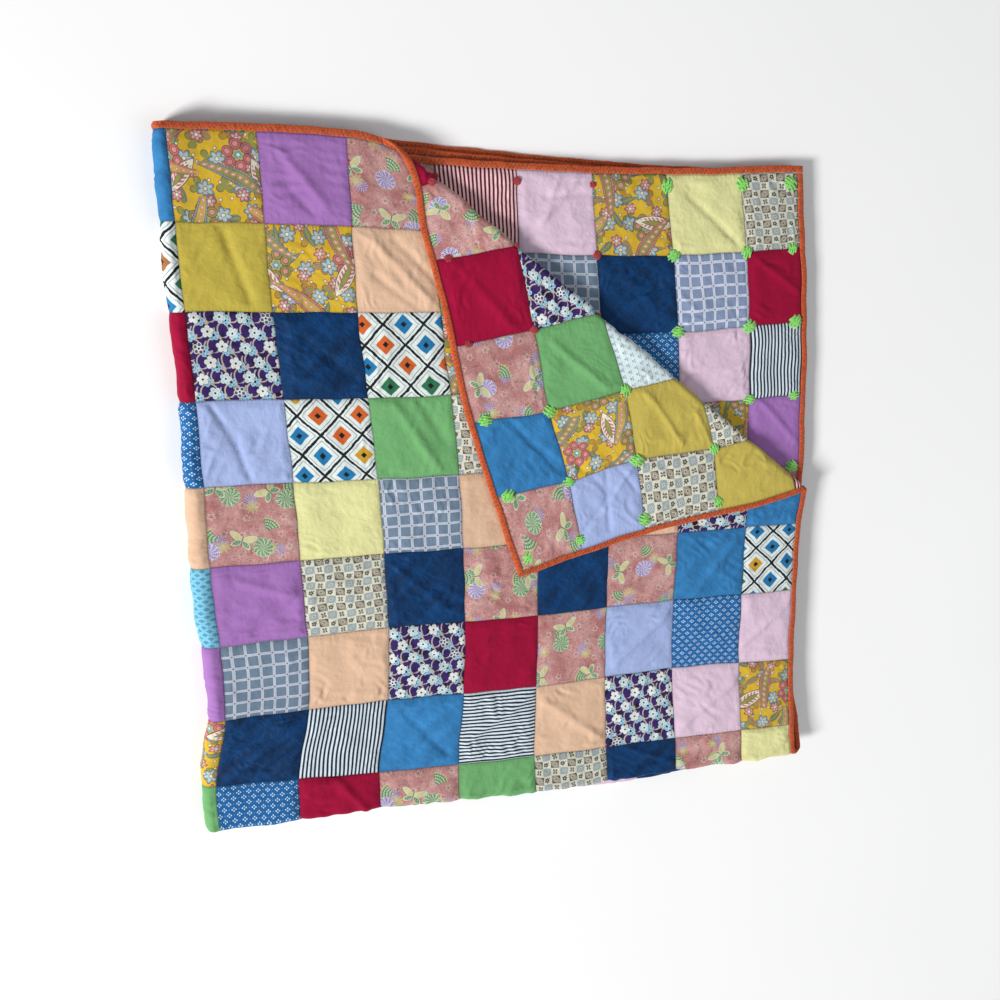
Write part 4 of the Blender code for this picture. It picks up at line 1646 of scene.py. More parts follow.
@dataclass(frozen=True)
class BatikCotton(Cotton):
    """A clouded rose-brown ground full of dark scrolls, with soft roundels, fans, shells and butterflies on it."""

    dark: Colour = (0.29, 0.105, 0.095)
    light: Colour = (0.62, 0.38, 0.36)
    lilac: Colour = (0.22, 0.18, 0.40)
    pale_lilac: Colour = (0.66, 0.62, 0.80)
    leaf: Colour = (0.06, 0.20, 0.09)
    pale_leaf: Colour = (0.52, 0.66, 0.44)
    straw: Colour = (0.56, 0.48, 0.20)
    white: Colour = (0.70, 0.60, 0.55)

    def print_on(self, cloth: Print) -> None:
        """Prints the motifs over the clouded ground.

        Args:
            cloth: The cloth.
        """
        board, x, y = cloth.board, cloth.x, cloth.y
        cloth.ink((board.noise(x, y, 34.0, 2.0, 0.5) - 0.32) * 2.6, self.light)
        cloth.ink((board.noise(x, y, 8.5, 1.0, 0.4, 2.0) - 0.54) * 2.6, self.dark)
        scroll = (board.noise(x, y, 10.0, 1.0, 0.4, 5.0) * 8.0).fract()
        cloth.ink(scroll.near(0.5, 0.16, 0.14) * 0.42, self.dark)
        cloth.ink(scroll.near(0.0, 0.09, 0.12) * 0.35, self.light)
        self.stars(cloth)
        self.bursts(cloth)
        self.fans(cloth)
        self.roundels(cloth)
        self.butterflies(cloth)

    def stars(self, cloth: Print) -> None:
        """Prints little pale stars with a dark middle.

        Args:
            cloth: The cloth.
        """
        star = cloth.repeat((3.0, 0.0), (27.0, 25.0), 0.6, 3.1, 1.5)
        shown = star.picks[0].inside(0.55, 0.01)
        cloth.ink(abs(star.flower(5, 5.0, 0.55)).inside(0.5, 0.5) * shown * 0.7, self.white)
        cloth.ink(star.reach.inside(1.2, 0.5) * shown * 0.8, self.leaf)

    def bursts(self, cloth: Print) -> None:
        """Prints soft straw-coloured bursts over a pale lilac shell.

        Args:
            cloth: The cloth.
        """
        spot = cloth.repeat((49.0, 5.0), (72.0, 66.0), 0.3, 3.1, 3.5)
        shell = spot.moved(3.0, -5.0)
        rays = abs((shell.angle * 7.0).sin())
        cloth.ink(shell.reach.inside(9.5, 1.5) * 0.55, self.lilac)
        cloth.ink(shell.reach.inside(9.5, 1.5) * rays.inside(0.35, 0.3) * 0.8, self.pale_lilac)
        burst = spot.moved(-2.0, 4.0).flower(9, 10.5, 0.5)
        cloth.ink(burst.inside(0.0, 1.6) * 0.62, self.straw)
        cloth.ink(burst.inside(-6.0, 1.6) * 0.5, self.pale_leaf)

    def fans(self, cloth: Print) -> None:
        """Prints green fans with dotted pale bands and a yellow edge.

        Args:
            cloth: The cloth.
        """
        fan = cloth.repeat((30.0, 52.0), (84.0, 78.0), 0.25, 3.1, 5.5).moved(-8.0, 0.0)
        sector = abs(fan.angle).inside(0.72, 0.06) * fan.reach.inside(20.5, 0.8)
        dots = Motif(((fan.angle * 4.5).fract() - 0.5) * 4.0, ((fan.reach * (1 / 4.6)).fract() - 0.5) * 4.6, fan.picks)
        cloth.ink(sector * 0.85, self.leaf)
        cloth.ink(sector * dots.reach.inside(1.5, 0.7) * 0.85, self.pale_leaf)
        cloth.ink(abs(fan.angle).inside(0.76, 0.06) * fan.reach.near(20.8, 0.7, 0.6) * 0.9, self.straw)

    def roundels(self, cloth: Print) -> None:
        """Prints roundels of small petals in rings, lilac or green.

        Args:
            cloth: The cloth.
        """
        spot = cloth.repeat((20.0, 31.0), (86.0, 80.0), 0.2, 3.1, 2.5)
        disc = spot.flower(14, 15.0, 0.10)
        rings = (spot.reach * (2 * math.pi / 4.4) + (spot.angle * 11.0 + spot.reach).cos() * 2.4).sin()
        back = cloth.either(spot.picks[0], 0.5, self.lilac, self.leaf)
        front = cloth.either(spot.picks[0], 0.5, self.pale_lilac, self.pale_leaf)
        cloth.ink(disc.inside(0.0, 0.8) * 0.85, back)
        cloth.ink(disc.near(0.0, 0.5, 0.5) * 0.6, front)
        cloth.ink(disc.inside(-0.4, 0.8) * rings.inside(-0.1, 0.5) * 0.9, front)

    def butterflies(self, cloth: Print) -> None:
        """Prints butterflies with a dotted yellow wing and a lacy green one on each side.

        Args:
            cloth: The cloth.
        """
        spot = cloth.repeat((0.0, 0.0), (92.0, 84.0), 0.2, 2.2, 4.5)
        half = Motif(abs(spot.x), spot.y, spot.picks)
        upper = half.moved(10.0, 5.0).turned(0.5).ellipse(10.5, 4.6)
        lower = half.moved(7.0, -5.5).turned(-0.7).ellipse(7.5, 3.8)
        lace = Motif(*(((run * (1 / 3.6)).fract() - 0.5) * 3.6 for run in (spot.x, spot.y)), spot.picks)
        for wing, tint in ((upper, self.straw), (lower, self.leaf)):
            cloth.ink(wing.inside(0.7, 0.5) * 0.9, self.pale_leaf)
            cloth.ink(wing.inside(-0.5, 0.6) * 0.8, tint)
            cloth.ink(wing.inside(-0.9, 0.6) * lace.reach.inside(0.8, 0.5) * 0.7, self.white)
        cloth.ink(spot.ellipse(1.2, 8.0).inside(0.0, 0.5) * 0.8, self.dark)


@dataclass(frozen=True)
class BindingCotton(Cotton):
    """The binding's orange cotton, creased across between the stitches, with painted shade that makes it browner in the
    hollows of the creases.
    """

    # Painted shade: the brown that fills the hollows of the creases
    hollow_painted_shade: Colour = (0.30, 0.05, 0.012)

    def make(self) -> bpy.types.Material:
        """Makes the finish on the binding's own map: along it, and across it.

        Returns:
            The material.
        """
        board = NodeBoard(self.name)
        along, across = board.map_place("print", 1000.0)
        creases = board.noise((along + across * 0.6) * (1 / 2.6), across * (1 / 9), 1.0, 2.0)
        blotch = board.noise(along, across, 22.0, 3.0, 0.6, 3.0)
        weave = (along * (2 * math.pi / 0.6)).sin() * (across * (2 * math.pi / 0.6)).sin()
        # Painted shade: browner where the crease noise, which also sets the bump, dips low
        shaded_colour = board.mix((0.56 - creases) * 3.2, self.ground, self.hollow_painted_shade)
        tone = 1 + (blotch - 0.5) * 0.35
        board.feed(board.shader.inputs["Base Color"], board.mix(1.0, shaded_colour, board.join(tone, tone, tone), "MULTIPLY"))
        board.bump(creases * 0.9 + blotch * 0.3 + weave * 0.012)
        board.shade(Roughness=self.roughness, Sheen_Weight=0.1, Specular_IOR_Level=0.25)
        return board.material


@dataclass(frozen=True)
class Yarn:
    """A soft two-ply yarn or thread with fine fibres."""

    name: str
    light: Colour
    dark: Colour
    ply: float = 0.9

    def make(self) -> bpy.types.Material:
        """Makes the finish on object coordinates: strands, patchy tone, painted shade in the hollows between the
        strands, and fuzz.

        Returns:
            The material.
        """
        board = NodeBoard(self.name)
        x, y, z = board.object_place(1000.0)
        strands = ((x * 0.8 + y * 0.6 + z * 1.3) * (2 * math.pi / self.ply)).sin()
        patchy = board.noise(x, y + z, 3.5, 3.0, 0.6)
        # The strands term paints shade into the hollows between the plies; the patchy noise is random tone
        shaded_colour = board.mix((patchy - 0.34) * 2.6 + strands * 0.12, self.dark, self.light)
        board.feed(board.shader.inputs["Base Color"], shaded_colour)
        board.bump(strands * 0.07 + board.noise(x, y + z, 0.5, 2.0) * 0.10)
        board.shade(Roughness=0.9, Sheen_Weight=0.35, Sheen_Roughness=0.6)
        return board.material


COTTONS = {
    Fabric.PAISLEY: PaisleyCotton("cotton_paisley", linear(212, 175, 53), fade=0.05),
    Fabric.BATIK: BatikCotton("cotton_batik", linear(170, 112, 111)),
    Fabric.BLOSSOM: BlossomCotton("cotton_blossom", linear(58, 39, 102)),
    Fabric.FOULARD: FoulardCotton("cotton_foulard", linear(212, 211, 194)),
    Fabric.CHECK: CheckedCotton("cotton_check", linear(124, 144, 164), band=linear(206, 212, 226),
                                line=linear(76, 90, 112), dot=linear(128, 90, 104)),
    Fabric.CHECK_BLUE: CheckedCotton("cotton_check_blue", linear(146, 162, 192), band=linear(226, 232, 246),
                                     line=linear(98, 112, 146), dot=linear(136, 110, 136)),
    Fabric.LATTICE: LatticeCotton("cotton_lattice", linear(224, 234, 232)),
    Fabric.STRIPE_NAVY: StripedCotton("cotton_stripe_navy", linear(212, 226, 232), stripe=linear(28, 36, 62)),
    Fabric.STRIPE_RED: StripedCotton("cotton_stripe_red", linear(250, 212, 214), stripe=linear(102, 19, 42)),
    Fabric.DOTS_BLUE: DottedCotton("cotton_dots_blue", linear(33, 98, 159), dot=linear(206, 230, 246)),
    Fabric.CALICO: CalicoCotton("cotton_calico", linear(206, 224, 228)),
    Fabric.TURQUOISE: DottedCotton("cotton_turquoise", linear(122, 189, 215), dot=linear(36, 96, 140),
                                   step=12.0, spread=2.0),
    Fabric.PURPLE: Cotton("cotton_purple", linear(163, 115, 183)),
    Fabric.MUSTARD: Cotton("cotton_mustard", linear(190, 172, 74)),
    Fabric.GOLD: Cotton("cotton_gold", linear(190, 172, 84)),
    Fabric.PEACH: Cotton("cotton_peach", linear(216, 180, 152)),
    Fabric.NAVY: Cotton("cotton_navy", linear(0, 49, 94), fade=0.26, crumple=0.85, roughness=0.72, gloss=0.18,
                        painted_sheen=0.7),
    Fabric.LILAC: Cotton("cotton_lilac", linear(160, 176, 220)),
    Fabric.GREEN: Cotton("cotton_green", linear(108, 166, 107), slub=0.11),
    Fabric.LEMON: Cotton("cotton_lemon", linear(219, 217, 156), crumple=0.55),
    Fabric.RED: Cotton("cotton_red", linear(154, 10, 54)),
    Fabric.PINK: Cotton("cotton_pink", linear(218, 192, 212)),
    Fabric.BLUE: Cotton("cotton_blue", linear(52, 120, 175), fade=0.18, crumple=0.5, painted_sheen=0.25),
}


def finish_mesh(name: str, points: Array, faces: Array, maps: dict[str, Array],
                material: bpy.types.Material) -> bpy.types.Object:
    """Makes a smooth mesh object from arrays.

    Args:
        name: The piece's name.
        points: One row of x, y and z a point.
        faces: One row of point numbers a face.
        maps: For each UV map, its place at every point.
        material: The piece's finish.

    Returns:
        The object, at the origin.
    """
    mesh = bpy.data.meshes.new(name)
    mesh.from_pydata(points.tolist(), [], faces.tolist())
    corners = faces.ravel()
    for title, places in maps.items():
        layer = mesh.uv_layers.new(name=title)
        layer.data.foreach_set("uv", places[corners].ravel())
    mesh.materials.append(material)
    mesh.polygons.foreach_set("use_smooth", [True] * len(mesh.polygons))
    mesh.update()
    piece = bpy.data.objects.new(name, mesh)
    bpy.context.collection.objects.link(piece)
    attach(piece, "root")
    return piece


def grid_faces(wide: int, tall: int, flip: bool) -> Array:
    """The faces of a grid of points.

    Args:
        wide: How many lines it has.
        tall: How many points a line has.
        flip: Whether the faces are turned over.

    Returns:
        One row of four point numbers a face.
    """
    start = (np.arange(wide - 1)[:, None] * tall + np.arange(tall - 1)[None, :]).ravel()
    faces = np.stack((start, start + tall, start + tall + 1, start + 1), axis=1)
    return faces[:, ::-1] if flip else faces


@dataclass
class Patchwork:
    """The quilt's cloth: every patch on both faces, one piece for each cotton."""

    fold: QuiltFold
    relief: ClothRelief
    tones: Pair = (0.93, 1.04)
    # Painted light and shade on the back face, by layer: lighter on the corner that is turned back, darker on the layer
    # under it
    back_painted_light: Pair = (1.07, 0.96)
    pieces: list[bpy.types.Object] = field(default_factory=list)

    def patch_mesh(self, spot: PatchSpot) -> tuple[Array, Array, Array, Array, Array]:
        """Makes one patch.

        Args:
            spot: The patch.

        Returns:
            Its points, faces, places on the print, places in the patch and tone: a random tone, with painted light and
            shade added on the back face.
        """
        lines_across, lines_up = spot.lines()
        across, up = (grid.ravel() for grid in np.meshgrid(lines_across, lines_up, indexing="ij"))
        depth = self.relief.depth(spot, across, up)
        if spot.side is Side.FRONT:
            points = self.fold.world(across, up, depth)
        else:
            points = self.fold.world(*self.fold.slide(across, up), -depth)
        faces = grid_faces(len(lines_across), len(lines_up), spot.side is Side.BACK)
        in_patch = np.stack(((across - spot.left) / (spot.right - spot.left), (up - spot.bottom) / self.fold.patch), 1)
        local = np.stack((across - spot.left, up - spot.bottom), axis=1)
        if spot.quarter:
            local = np.stack((local[:, 1], -local[:, 0]), axis=1)
        cut = np.array((spot.seed * 0.9, (spot.seed * 5.7) % 1 * 0.9)) + 1.0
        tone = self.tones[0] + (self.tones[1] - self.tones[0]) * ((spot.seed * 3.3) % 1)
        # Painted light and shade: the back face's tone is raised on the turned-back corner and lowered on the layer
        # under it
        if spot.side is Side.BACK:
            tone *= self.back_painted_light[0 if spot.row < self.fold.rows_to_fold else 1]
        return points, faces, local + cut, in_patch, np.full(len(points), tone)

    def build(self, spots: list[PatchSpot]) -> list[bpy.types.Object]:
        """Builds one piece for each cotton.

        Args:
            spots: All patches.

        Returns:
            The pieces.
        """
        for fabric in Fabric:
            own = [spot for spot in spots if spot.fabric is fabric]
            meshes = [self.patch_mesh(spot) for spot in own]
            starts = np.cumsum([0] + [len(mesh[0]) for mesh in meshes[:-1]])
            points = np.concatenate([mesh[0] for mesh in meshes])
            faces = np.concatenate([mesh[1] + start for mesh, start in zip(meshes, starts)])
            maps = {"print": np.concatenate([mesh[2] for mesh in meshes]),
                    "patch": np.concatenate([mesh[3] for mesh in meshes])}
            material = COTTONS[fabric].make()
            piece = finish_mesh(f"patches_{fabric.name.lower()}", points, faces, maps, material)
            tone = piece.data.attributes.new("tone", "FLOAT", "POINT")
            tone.data.foreach_set("value", np.concatenate([mesh[4] for mesh in meshes]))
            area = sum((spot.right - spot.left) * self.fold.patch for spot in own)
            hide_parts("quilt_cloth")
            self.pieces.append(piece)
            LOG.info("%s: %d patches, %d faces", piece.name, len(own), len(faces))
        return self.pieces


@dataclass
class Binding:
    """The orange binding around the quilt's edge, folded over it, with a zigzag stitch along each side."""

    fold: QuiltFold
    step: float = 0.0025
    # Its cross-section in millimetres, from the front face round the edge: outwards, and above the cloth's middle
    section: tuple[Pair, ...] = (
        (1.0, 1.3), (1.4, 2.1), (2.4, 2.6), (4.2, 2.7), (6.4, 2.55), (8.4, 2.2), (9.9, 1.6), (10.8, 0.8), (11.1, 0.0),
    )
    ripple: float = 0.0004
    stitch_pitch: float = 0.0062
    stitch_span: Pair = (0.0018, 0.0078)
    thread: float = 0.00040

    def bands(self) -> dict[str, tuple[bool, float, Array]]:
        """Divides the binding into its strips.

        Returns:
            For each solid, whether its strip runs across, its edge (1 or -1) and its stations along that edge.
        """
        fold = self.fold
        outer_side = fold.open_edge + fold.binding_width
        long_top = self.stations(fold.hidden_edge - fold.binding_width, outer_side, fold.outer_arc)
        long_side = self.stations(-fold.top_edge, fold.top_edge, fold.inner_arc)
        past = fold.past_fold(*fold.flat_places(long_top, np.full_like(long_top, fold.top_edge)))
        split_top = int(np.argmax(past > -0.004))
        open_lines = np.where(long_side > 0.1, long_side, 0.1)
        past = fold.past_fold(*fold.flat_places(np.full_like(long_side, fold.open_edge), open_lines))
        split_side = int(np.argmax(past > -0.004))
        return {
            "binding_top_outer": (True, 1, long_top[:split_top + 1]),
            "binding_flap_left": (True, 1, long_top[split_top:]),
            "binding_top_inner": (True, -1, long_top),
            "binding_side_open": (False, 1, long_side[:split_side + 1]),
            "binding_flap_bottom": (False, 1, long_side[split_side:]),
            "binding_side_hidden": (False, -1, long_side),
        }

    def stations(self, start: float, end: float, arc: float) -> Array:
        """Spaces stations along an edge, closer where it passes a fold.

        Args:
            start: Where the edge starts.
            end: Where it ends.
            arc: A quarter of the fold, along the cloth.

        Returns:
            The stations.
        """
        even = np.linspace(start, end, int((end - start) / self.step) + 1)
        close = np.linspace(-1.3 * arc, 1.3 * arc, 33)
        return np.array(sorted({*even[np.abs(even) > close[-1] + 0.0008], *close}))

    def surface(self, across_runs: bool, edge: int, along: Array, outward: Array,
                height: Array) -> Array:
        """Points on the binding.

        Args:
            across_runs: Whether the strip runs across the quilt.
            edge: 1 on the top or open edge, -1 on the one opposite.
            along: Places along the edge.
            outward: Places outwards from the cloth's edge.
            height: Heights above the cloth's middle.

        Returns:
            The points in the pack's frame.
        """
        fold = self.fold
        if across_runs:
            return fold.world(along, edge * (fold.top_edge + outward), height)
        side = fold.open_edge + outward if edge == 1 else fold.hidden_edge - outward
        return fold.world(side, along, height)

    def strip(self, name: str, across_runs: bool, edge: int, lines: Array,
              material: bpy.types.Material) -> bpy.types.Object:
        """Builds one strip of binding, wrapped over the cloth's edge; where it runs across, it is pinched thinner
        towards its ends.

        Args:
            name: The solid that it replaces.
            across_runs: Whether the strip runs across the quilt.
            edge: 1 on the top or open edge, -1 on the one opposite.
            lines: Its stations along the edge.
            material: Its finish.

        Returns:
            The strip.
        """
        half = np.array(self.section) / 1000
        section = np.concatenate((half, half[-2::-1] * (1, -1)))
        outward = np.tile(section[:, 0], len(lines))
        height = np.tile(section[:, 1], len(lines))
        along = np.repeat(lines, len(section))
        ends = np.minimum(along - lines[0], lines[-1] - along)
        corner = np.clip(ends / 0.002, 0, 1) if across_runs else np.ones(len(along))
        ripple = lattice_noise(along / 0.0075, outward * 120 + np.sign(height) * 3, 5)
        height = height * (0.25 + 0.75 * np.sqrt(corner)) + self.ripple * ripple * np.sign(height)
        outward = outward + self.ripple * lattice_noise(along / 0.014, outward * 0, 6) * (outward > 0.004)
        points = self.surface(across_runs, edge, along, outward, height)
        flip = across_runs != (edge == -1)
        faces = grid_faces(len(lines), len(section), flip)
        round_section = np.concatenate(((0,), np.cumsum(np.linalg.norm(np.diff(section, axis=0), axis=1))))
        print_places = np.stack((along + 2.0, np.tile(round_section, len(lines))), axis=1)
        piece = finish_mesh(name.replace("binding", "binding_cloth"), points, faces, {"print": print_places}, material)
        float(lines[-1] - lines[0])
        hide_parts(name)
        return piece

    def stitches(self, across_runs: bool, edge: int, lines: Array) -> tuple[Array, Array]:
        """Runs the zigzag thread along both faces of one strip, as square tubes.

        Args:
            across_runs: Whether the strip runs across the quilt.
            edge: 1 on the top or open edge, -1 on the one opposite.
            lines: The strip's stations along the edge.

        Returns:
            The points and faces.
        """
        count = int((lines[-1] - lines[0]) / self.stitch_pitch * 2)
        along = np.linspace(lines[0] + 0.003, lines[-1] - 0.003, count)
        outward = np.where(np.arange(count) % 2, *self.stitch_span)
        section = np.array(self.section) / 1000
        height = np.interp(outward, section[:, 0], section[:, 1]) + self.thread * 0.6
        points, faces = [], []
        for face in (1, -1):
            ring = []
            for lift, aside in ((1, 0), (0, 1), (-1, 0), (0, -1)):
                ring.append(self.surface(across_runs, edge, along + aside * self.thread,
                                         outward, face * (height + lift * self.thread)))
            tube = np.stack(ring, axis=1).reshape(-1, 3)
            start = np.arange(count - 1)[:, None] * 4
            around = np.array(((0, 1), (1, 2), (2, 3), (3, 0)))
            quads = np.concatenate([np.stack((start[:, 0] + a, start[:, 0] + b, start[:, 0] + b + 4,
                                              start[:, 0] + a + 4), axis=1) for a, b in around])
            points.append(tube)
            faces.append(quads + (0 if face == 1 else len(tube)))
        return np.concatenate(points), np.concatenate(faces)

    def build(self, cotton: Cotton, thread: Yarn) -> list[bpy.types.Object]:
        """Builds the strips and the stitches.

        Args:
            cotton: The binding's finish.
            thread: The stitches' finish.

        Returns:
            The pieces.
        """
        material = cotton.make()
        pieces = [self.strip(name, *band, material) for name, band in self.bands().items()]
        points, faces, count = [], [], 0
        for band in self.bands().values():
            own_points, own_faces = self.stitches(*band)
            points.append(own_points)
            faces.append(own_faces + count)
            count += len(own_points)
        stitches = finish_mesh("binding_stitches", np.concatenate(points), np.concatenate(faces), {}, thread.make())
        pieces.append(stitches)
        LOG.info("binding: %d strips, %d stitch faces", len(pieces) - 1, len(stitches.data.polygons))
        return pieces


@dataclass(frozen=True)
class Tuft:
    """The look of one yarn tie: a knot under strands that lie side by side over it. Sizes are in metres."""

    name: str
    span: float
    yarn: float
    height: float
    # For each strand: how far aside it lies, in strands, its turn in degrees and its length against the span
    strands: tuple[tuple[float, float, float], ...]

    def model(self) -> bpy.types.Object:
        """Models the tie at the origin, with the cloth's face at its middle height.

        Returns:
            The tie, as a pattern to copy.
        """
        bpy.ops.object.select_all(action="DESELECT")
        bpy.ops.mesh.primitive_uv_sphere_add(segments=18, ring_count=10, radius=self.span * 0.86, location=(0, 0, 0))
        tie = bpy.context.object
        tie.name = self.name
        bpy.ops.object.mode_set(mode="EDIT")
        bpy.ops.transform.resize(value=(1.0, 0.84, self.height * 0.92), center_override=(0, 0, 0))
        for aside, turn, length in self.strands:
            bpy.ops.mesh.select_all(action="DESELECT")
            bpy.ops.mesh.primitive_torus_add(major_segments=18, minor_segments=7, major_radius=self.span * length,
                                             minor_radius=self.yarn, location=(0, 0, 0))
            bpy.ops.transform.rotate(value=QUARTER, orient_axis="X", center_override=(0, 0, 0))
            bpy.ops.transform.resize(value=(1.0, 1.0, self.height / length ** 0.5), center_override=(0, 0, 0))
            bpy.ops.transform.translate(value=(0, aside * self.yarn * 1.7, 0))
            bpy.ops.transform.rotate(value=math.radians(turn), orient_axis="Z", center_override=(0, 0, 0))
        bpy.ops.mesh.select_all(action="SELECT")
        bpy.ops.mesh.normals_make_consistent(inside=False)
        bpy.ops.object.mode_set(mode="OBJECT")
        bpy.ops.object.transform_apply(location=True, rotation=True, scale=True)
        bpy.ops.object.shade_smooth()
        return tie


@dataclass
class YarnTies:
    """The yarn knots that hold the layers together, one at each seam crossing that shows."""

    fold: QuiltFold
    inset: float = 0.006
    # How far the ties along the top edge and along the open side really sit in from the cloth's edge
    drawn_in: Pair = (0.017, 0.013)
    green: Tuft = Tuft("ties_green", 0.0102, 0.0015, 0.40, (
        (-2.9, 16, 0.64), (-1.9, -12, 0.94), (-1.0, 9, 1.04), (0.0, -5, 1.18), (1.0, 13, 0.98), (1.9, -17, 0.96),
        (2.8, 9, 0.68), (-0.6, 56, 0.92), (0.8, -50, 0.86),
    ))
    red: Tuft = Tuft("ties_red", 0.0054, 0.0013, 0.56, (
        (-2.0, 4, 0.62), (-1.0, -5, 0.9), (0.0, 3, 1.0), (1.0, -4, 0.92), (2.0, 6, 0.66), (0.0, 84, 0.8),
    ))
    stitch: Tuft = Tuft("stitch_red", 0.0016, 0.00075, 0.6, ((-0.6, 0, 1.0), (0.6, 24, 0.9)))
    # The seam crossings of the front face where a red stitch comes through, by column and row
    stitched: tuple[Pair, ...] = ((2, 0.25), (2, 1), (2, 5), (2, 7), (5, 7), (5, 8), (3, 3))
    # The crossings of the back face where a red knot sits right on the turned-back corner's roll
    rolled: tuple[Pair, ...] = ((4, 1), (5, 2))

    def shifts(self) -> tuple[Array, Array]:
        """Places the back face's seam crossings in the pack.

        Returns:
            The crossings on the even grid, and how far each has slid from there.
        """
        fold = self.fold
        columns = [fold.seam_0 + count * fold.patch for count in range(fold.columns)] + [fold.open_edge - self.inset]
        rows = [fold.top_edge - max(count * fold.patch, self.inset) for count in range(int(fold.rows_to_fold))]
        across, up = (grid.ravel() for grid in np.meshgrid(columns, [*rows, *(-row for row in rows)]))
        even = fold.world(across, up, -fold.seam_half)
        top = fold.top_edge - self.drawn_in[0]
        inward = fold.slide(np.minimum(across, fold.open_edge - self.drawn_in[1]), np.clip(up, -top, top))
        return even, fold.world(*inward, -fold.seam_half) - even

    def seats(self, nodes: list[str]) -> list[Array]:
        """Where the ties of these solids sit on the dressed cloth.

        Args:
            nodes: The names of the solids.

        Returns:
            One point for each.
        """
        even, slid = self.shifts()
        seats = []
        for node in nodes:
            low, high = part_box(node)
            middle = np.array(((low.x + high.x) / 2, (low.y + high.y) / 2))
            nearest = int(np.argmin(np.linalg.norm(even[:, :2] - middle, axis=1) + np.abs(even[:, 2] - low.z)))
            seats.append(even[nearest] + slid[nearest])
        return seats

    def stitch_seats(self) -> list[Array]:
        """Places the small red stitches that come through the front face.

        Returns:
            One point for each.
        """
        fold = self.fold
        across, up = (np.array(values) * fold.patch for values in zip(*self.stitched))
        return list(fold.world(fold.seam_0 + across, fold.top_edge - up, fold.seam_half))

    def rolled_seats(self) -> list[Array]:
        """Places the knots on the roll of the turned-back corner.

        Returns:
            One point for each.
        """
        fold = self.fold
        across, up = (np.array(values) * fold.patch for values in zip(*self.rolled))
        return list(fold.world(*fold.slide(fold.seam_0 + across, fold.top_edge - up), -fold.seam_half))

    def copies(self, tuft: Tuft, seats: list[Array]) -> list[bpy.types.Object]:
        """Copies a tie to each seat, each turned and sized a little differently.

        Args:
            tuft: The tie.
            seats: The places.

        Returns:
            The copies, each with its own mesh.
        """
        pattern = tuft.model()
        copies = []
        for count, seat in enumerate(seats):
            copy = bpy.data.objects.new(f"{tuft.name}_{count}", pattern.data.copy())
            bpy.context.collection.objects.link(copy)
            spin = Matrix.Rotation(count * 2.4, 4, "Z") @ Matrix.Rotation(0.12 * math.sin(count * 1.7), 4, "X")
            size = 0.96 + 0.12 * math.sin(count * 2.9)
            copy.data.transform(Matrix.Translation(seat) @ spin @ Matrix.Scale(size, 4))
            copies.append(copy)
        bpy.data.objects.remove(pattern)
        return copies

    def build(self, colour: str, yarn: Yarn) -> bpy.types.Object:
        """Builds all ties of one colour as one piece.

        Args:
            colour: "green" or "red".
            yarn: The finish.

        Returns:
            The joined ties.
        """
        tuft = self.green if colour == "green" else self.red
        nodes = sorted(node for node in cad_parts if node.startswith(f"tie_{colour}"))
        copies = self.copies(tuft, self.seats(nodes) + (self.rolled_seats() if colour == "red" else []))
        if colour == "red":
            copies += self.copies(self.stitch, self.stitch_seats())
        bpy.ops.object.select_all(action="DESELECT")
        for copy in copies:
            copy.select_set(True)
        bpy.context.view_layer.objects.active = copies[0]
        bpy.ops.object.join()
        piece = bpy.context.object
        piece.name = tuft.name
        piece.data.name = tuft.name
        piece.data.materials.clear()
        piece.data.materials.append(yarn.make())
        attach(piece, "root")
        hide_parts(*nodes)
        LOG.info("%s: %d ties", piece.name, len(nodes))
        return piece


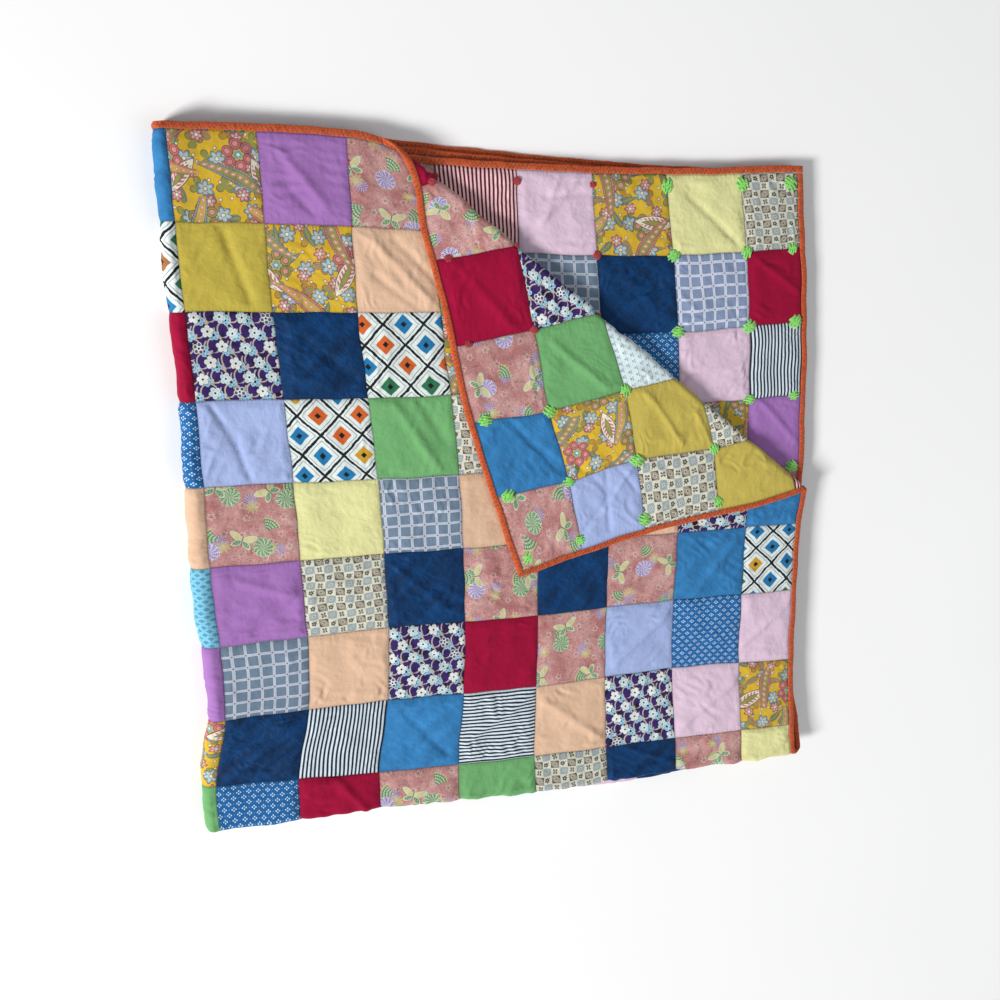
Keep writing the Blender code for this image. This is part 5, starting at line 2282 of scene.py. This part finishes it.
@dataclass
class Studio:
    """The pale floor, soft light and the camera over the quilt."""

    floor_size: float = 12.0
    camera_place: tuple[float, float, float] = (-0.3296, 0.3847, 1.5654)
    camera_axes: tuple[tuple[float, float, float], ...] = (
        # the camera's right, its up and the way back from what it sees
        (0.97919, -0.02075, 0.20187), (0.06947, 0.96893, -0.23737), (-0.19067, 0.24646, 0.95021),
    )
    lens: float = 36.0

    def build_floor(self) -> bpy.types.Object:
        """Lays a plain pale floor under the quilt.

        Returns:
            The floor.
        """
        bpy.ops.object.select_all(action="DESELECT")
        bpy.ops.mesh.primitive_plane_add(size=self.floor_size, location=(0, 0, -0.0004))
        floor = bpy.context.object
        floor.name = "floor"
        board = NodeBoard("floor_pale")
        x, y, _ = board.object_place(1.0)
        board.feed(board.shader.inputs["Base Color"],
                   board.mix(board.noise(x, y, 0.6), linear(246, 246, 247), linear(250, 250, 250)))
        board.shade(Roughness=0.9)
        floor.data.materials.append(board.material)
        bpy.ops.object.transform_apply(location=True)
        return floor

    def build_light(self) -> None:
        """Sets a bright even surround, a large soft light from the left and a weak one from the right."""
        world = bpy.data.worlds.new("surround")
        world.use_nodes = True
        world.node_tree.nodes["Background"].inputs["Color"].default_value = (0.96, 0.98, 1.0, 1)
        world.node_tree.nodes["Background"].inputs["Strength"].default_value = 0.27
        bpy.context.scene.world = world
        for name, place, size, power, tint in (
            ("key_light", (-6.5, -2.4, 4.4), 2.0, 790.0, (1.0, 0.99, 0.97)),
            ("fill_light", (3.0, -1.0, 4.2), 3.0, 56.0, (0.96, 0.98, 1.0)),
        ):
            data = bpy.data.lights.new(name, "AREA")
            data.size = size
            data.energy = power
            data.color = tint
            light = bpy.data.objects.new(name, data)
            light.location = place
            light.rotation_euler = (-Vector(place)).to_track_quat("-Z", "Y").to_euler()
            bpy.context.collection.objects.link(light)

    def build_camera(self) -> bpy.types.Object:
        """Sets the camera to look down at the quilt as the photograph does.

        Returns:
            The camera.
        """
        data = bpy.data.cameras.new("camera")
        data.lens = self.lens
        data.sensor_width = 36.0
        camera = bpy.data.objects.new("camera", data)
        axes = Matrix(self.camera_axes).transposed().to_4x4()
        camera.matrix_world = Matrix.Translation(self.camera_place) @ axes
        bpy.context.collection.objects.link(camera)
        bpy.context.scene.camera = camera
        return camera


def main() -> None:
    """Builds the quilt's pieces and the studio around them."""
    logging.basicConfig(level=logging.INFO, format="%(name)s: %(message)s")
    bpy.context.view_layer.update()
    bpy.context.scene.view_settings.view_transform = "Standard"
    studio = Studio()
    studio.build_camera()
    studio.build_floor()
    studio.build_light()

    fold = QuiltFold()
    Patchwork(fold, ClothRelief(fold)).build(PatchChart(fold).spots())
    orange = BindingCotton("cotton_orange", linear(204, 88, 42), roughness=0.8)
    Binding(fold).build(orange, Yarn("thread_orange", linear(178, 62, 34), linear(134, 40, 22), 0.5))
    ties = YarnTies(fold)
    ties.build("green", Yarn("yarn_green", linear(164, 238, 124), linear(100, 190, 72)))
    ties.build("red", Yarn("yarn_red", linear(204, 30, 44), linear(128, 12, 26)))


if __name__ == "__main__":
    main()
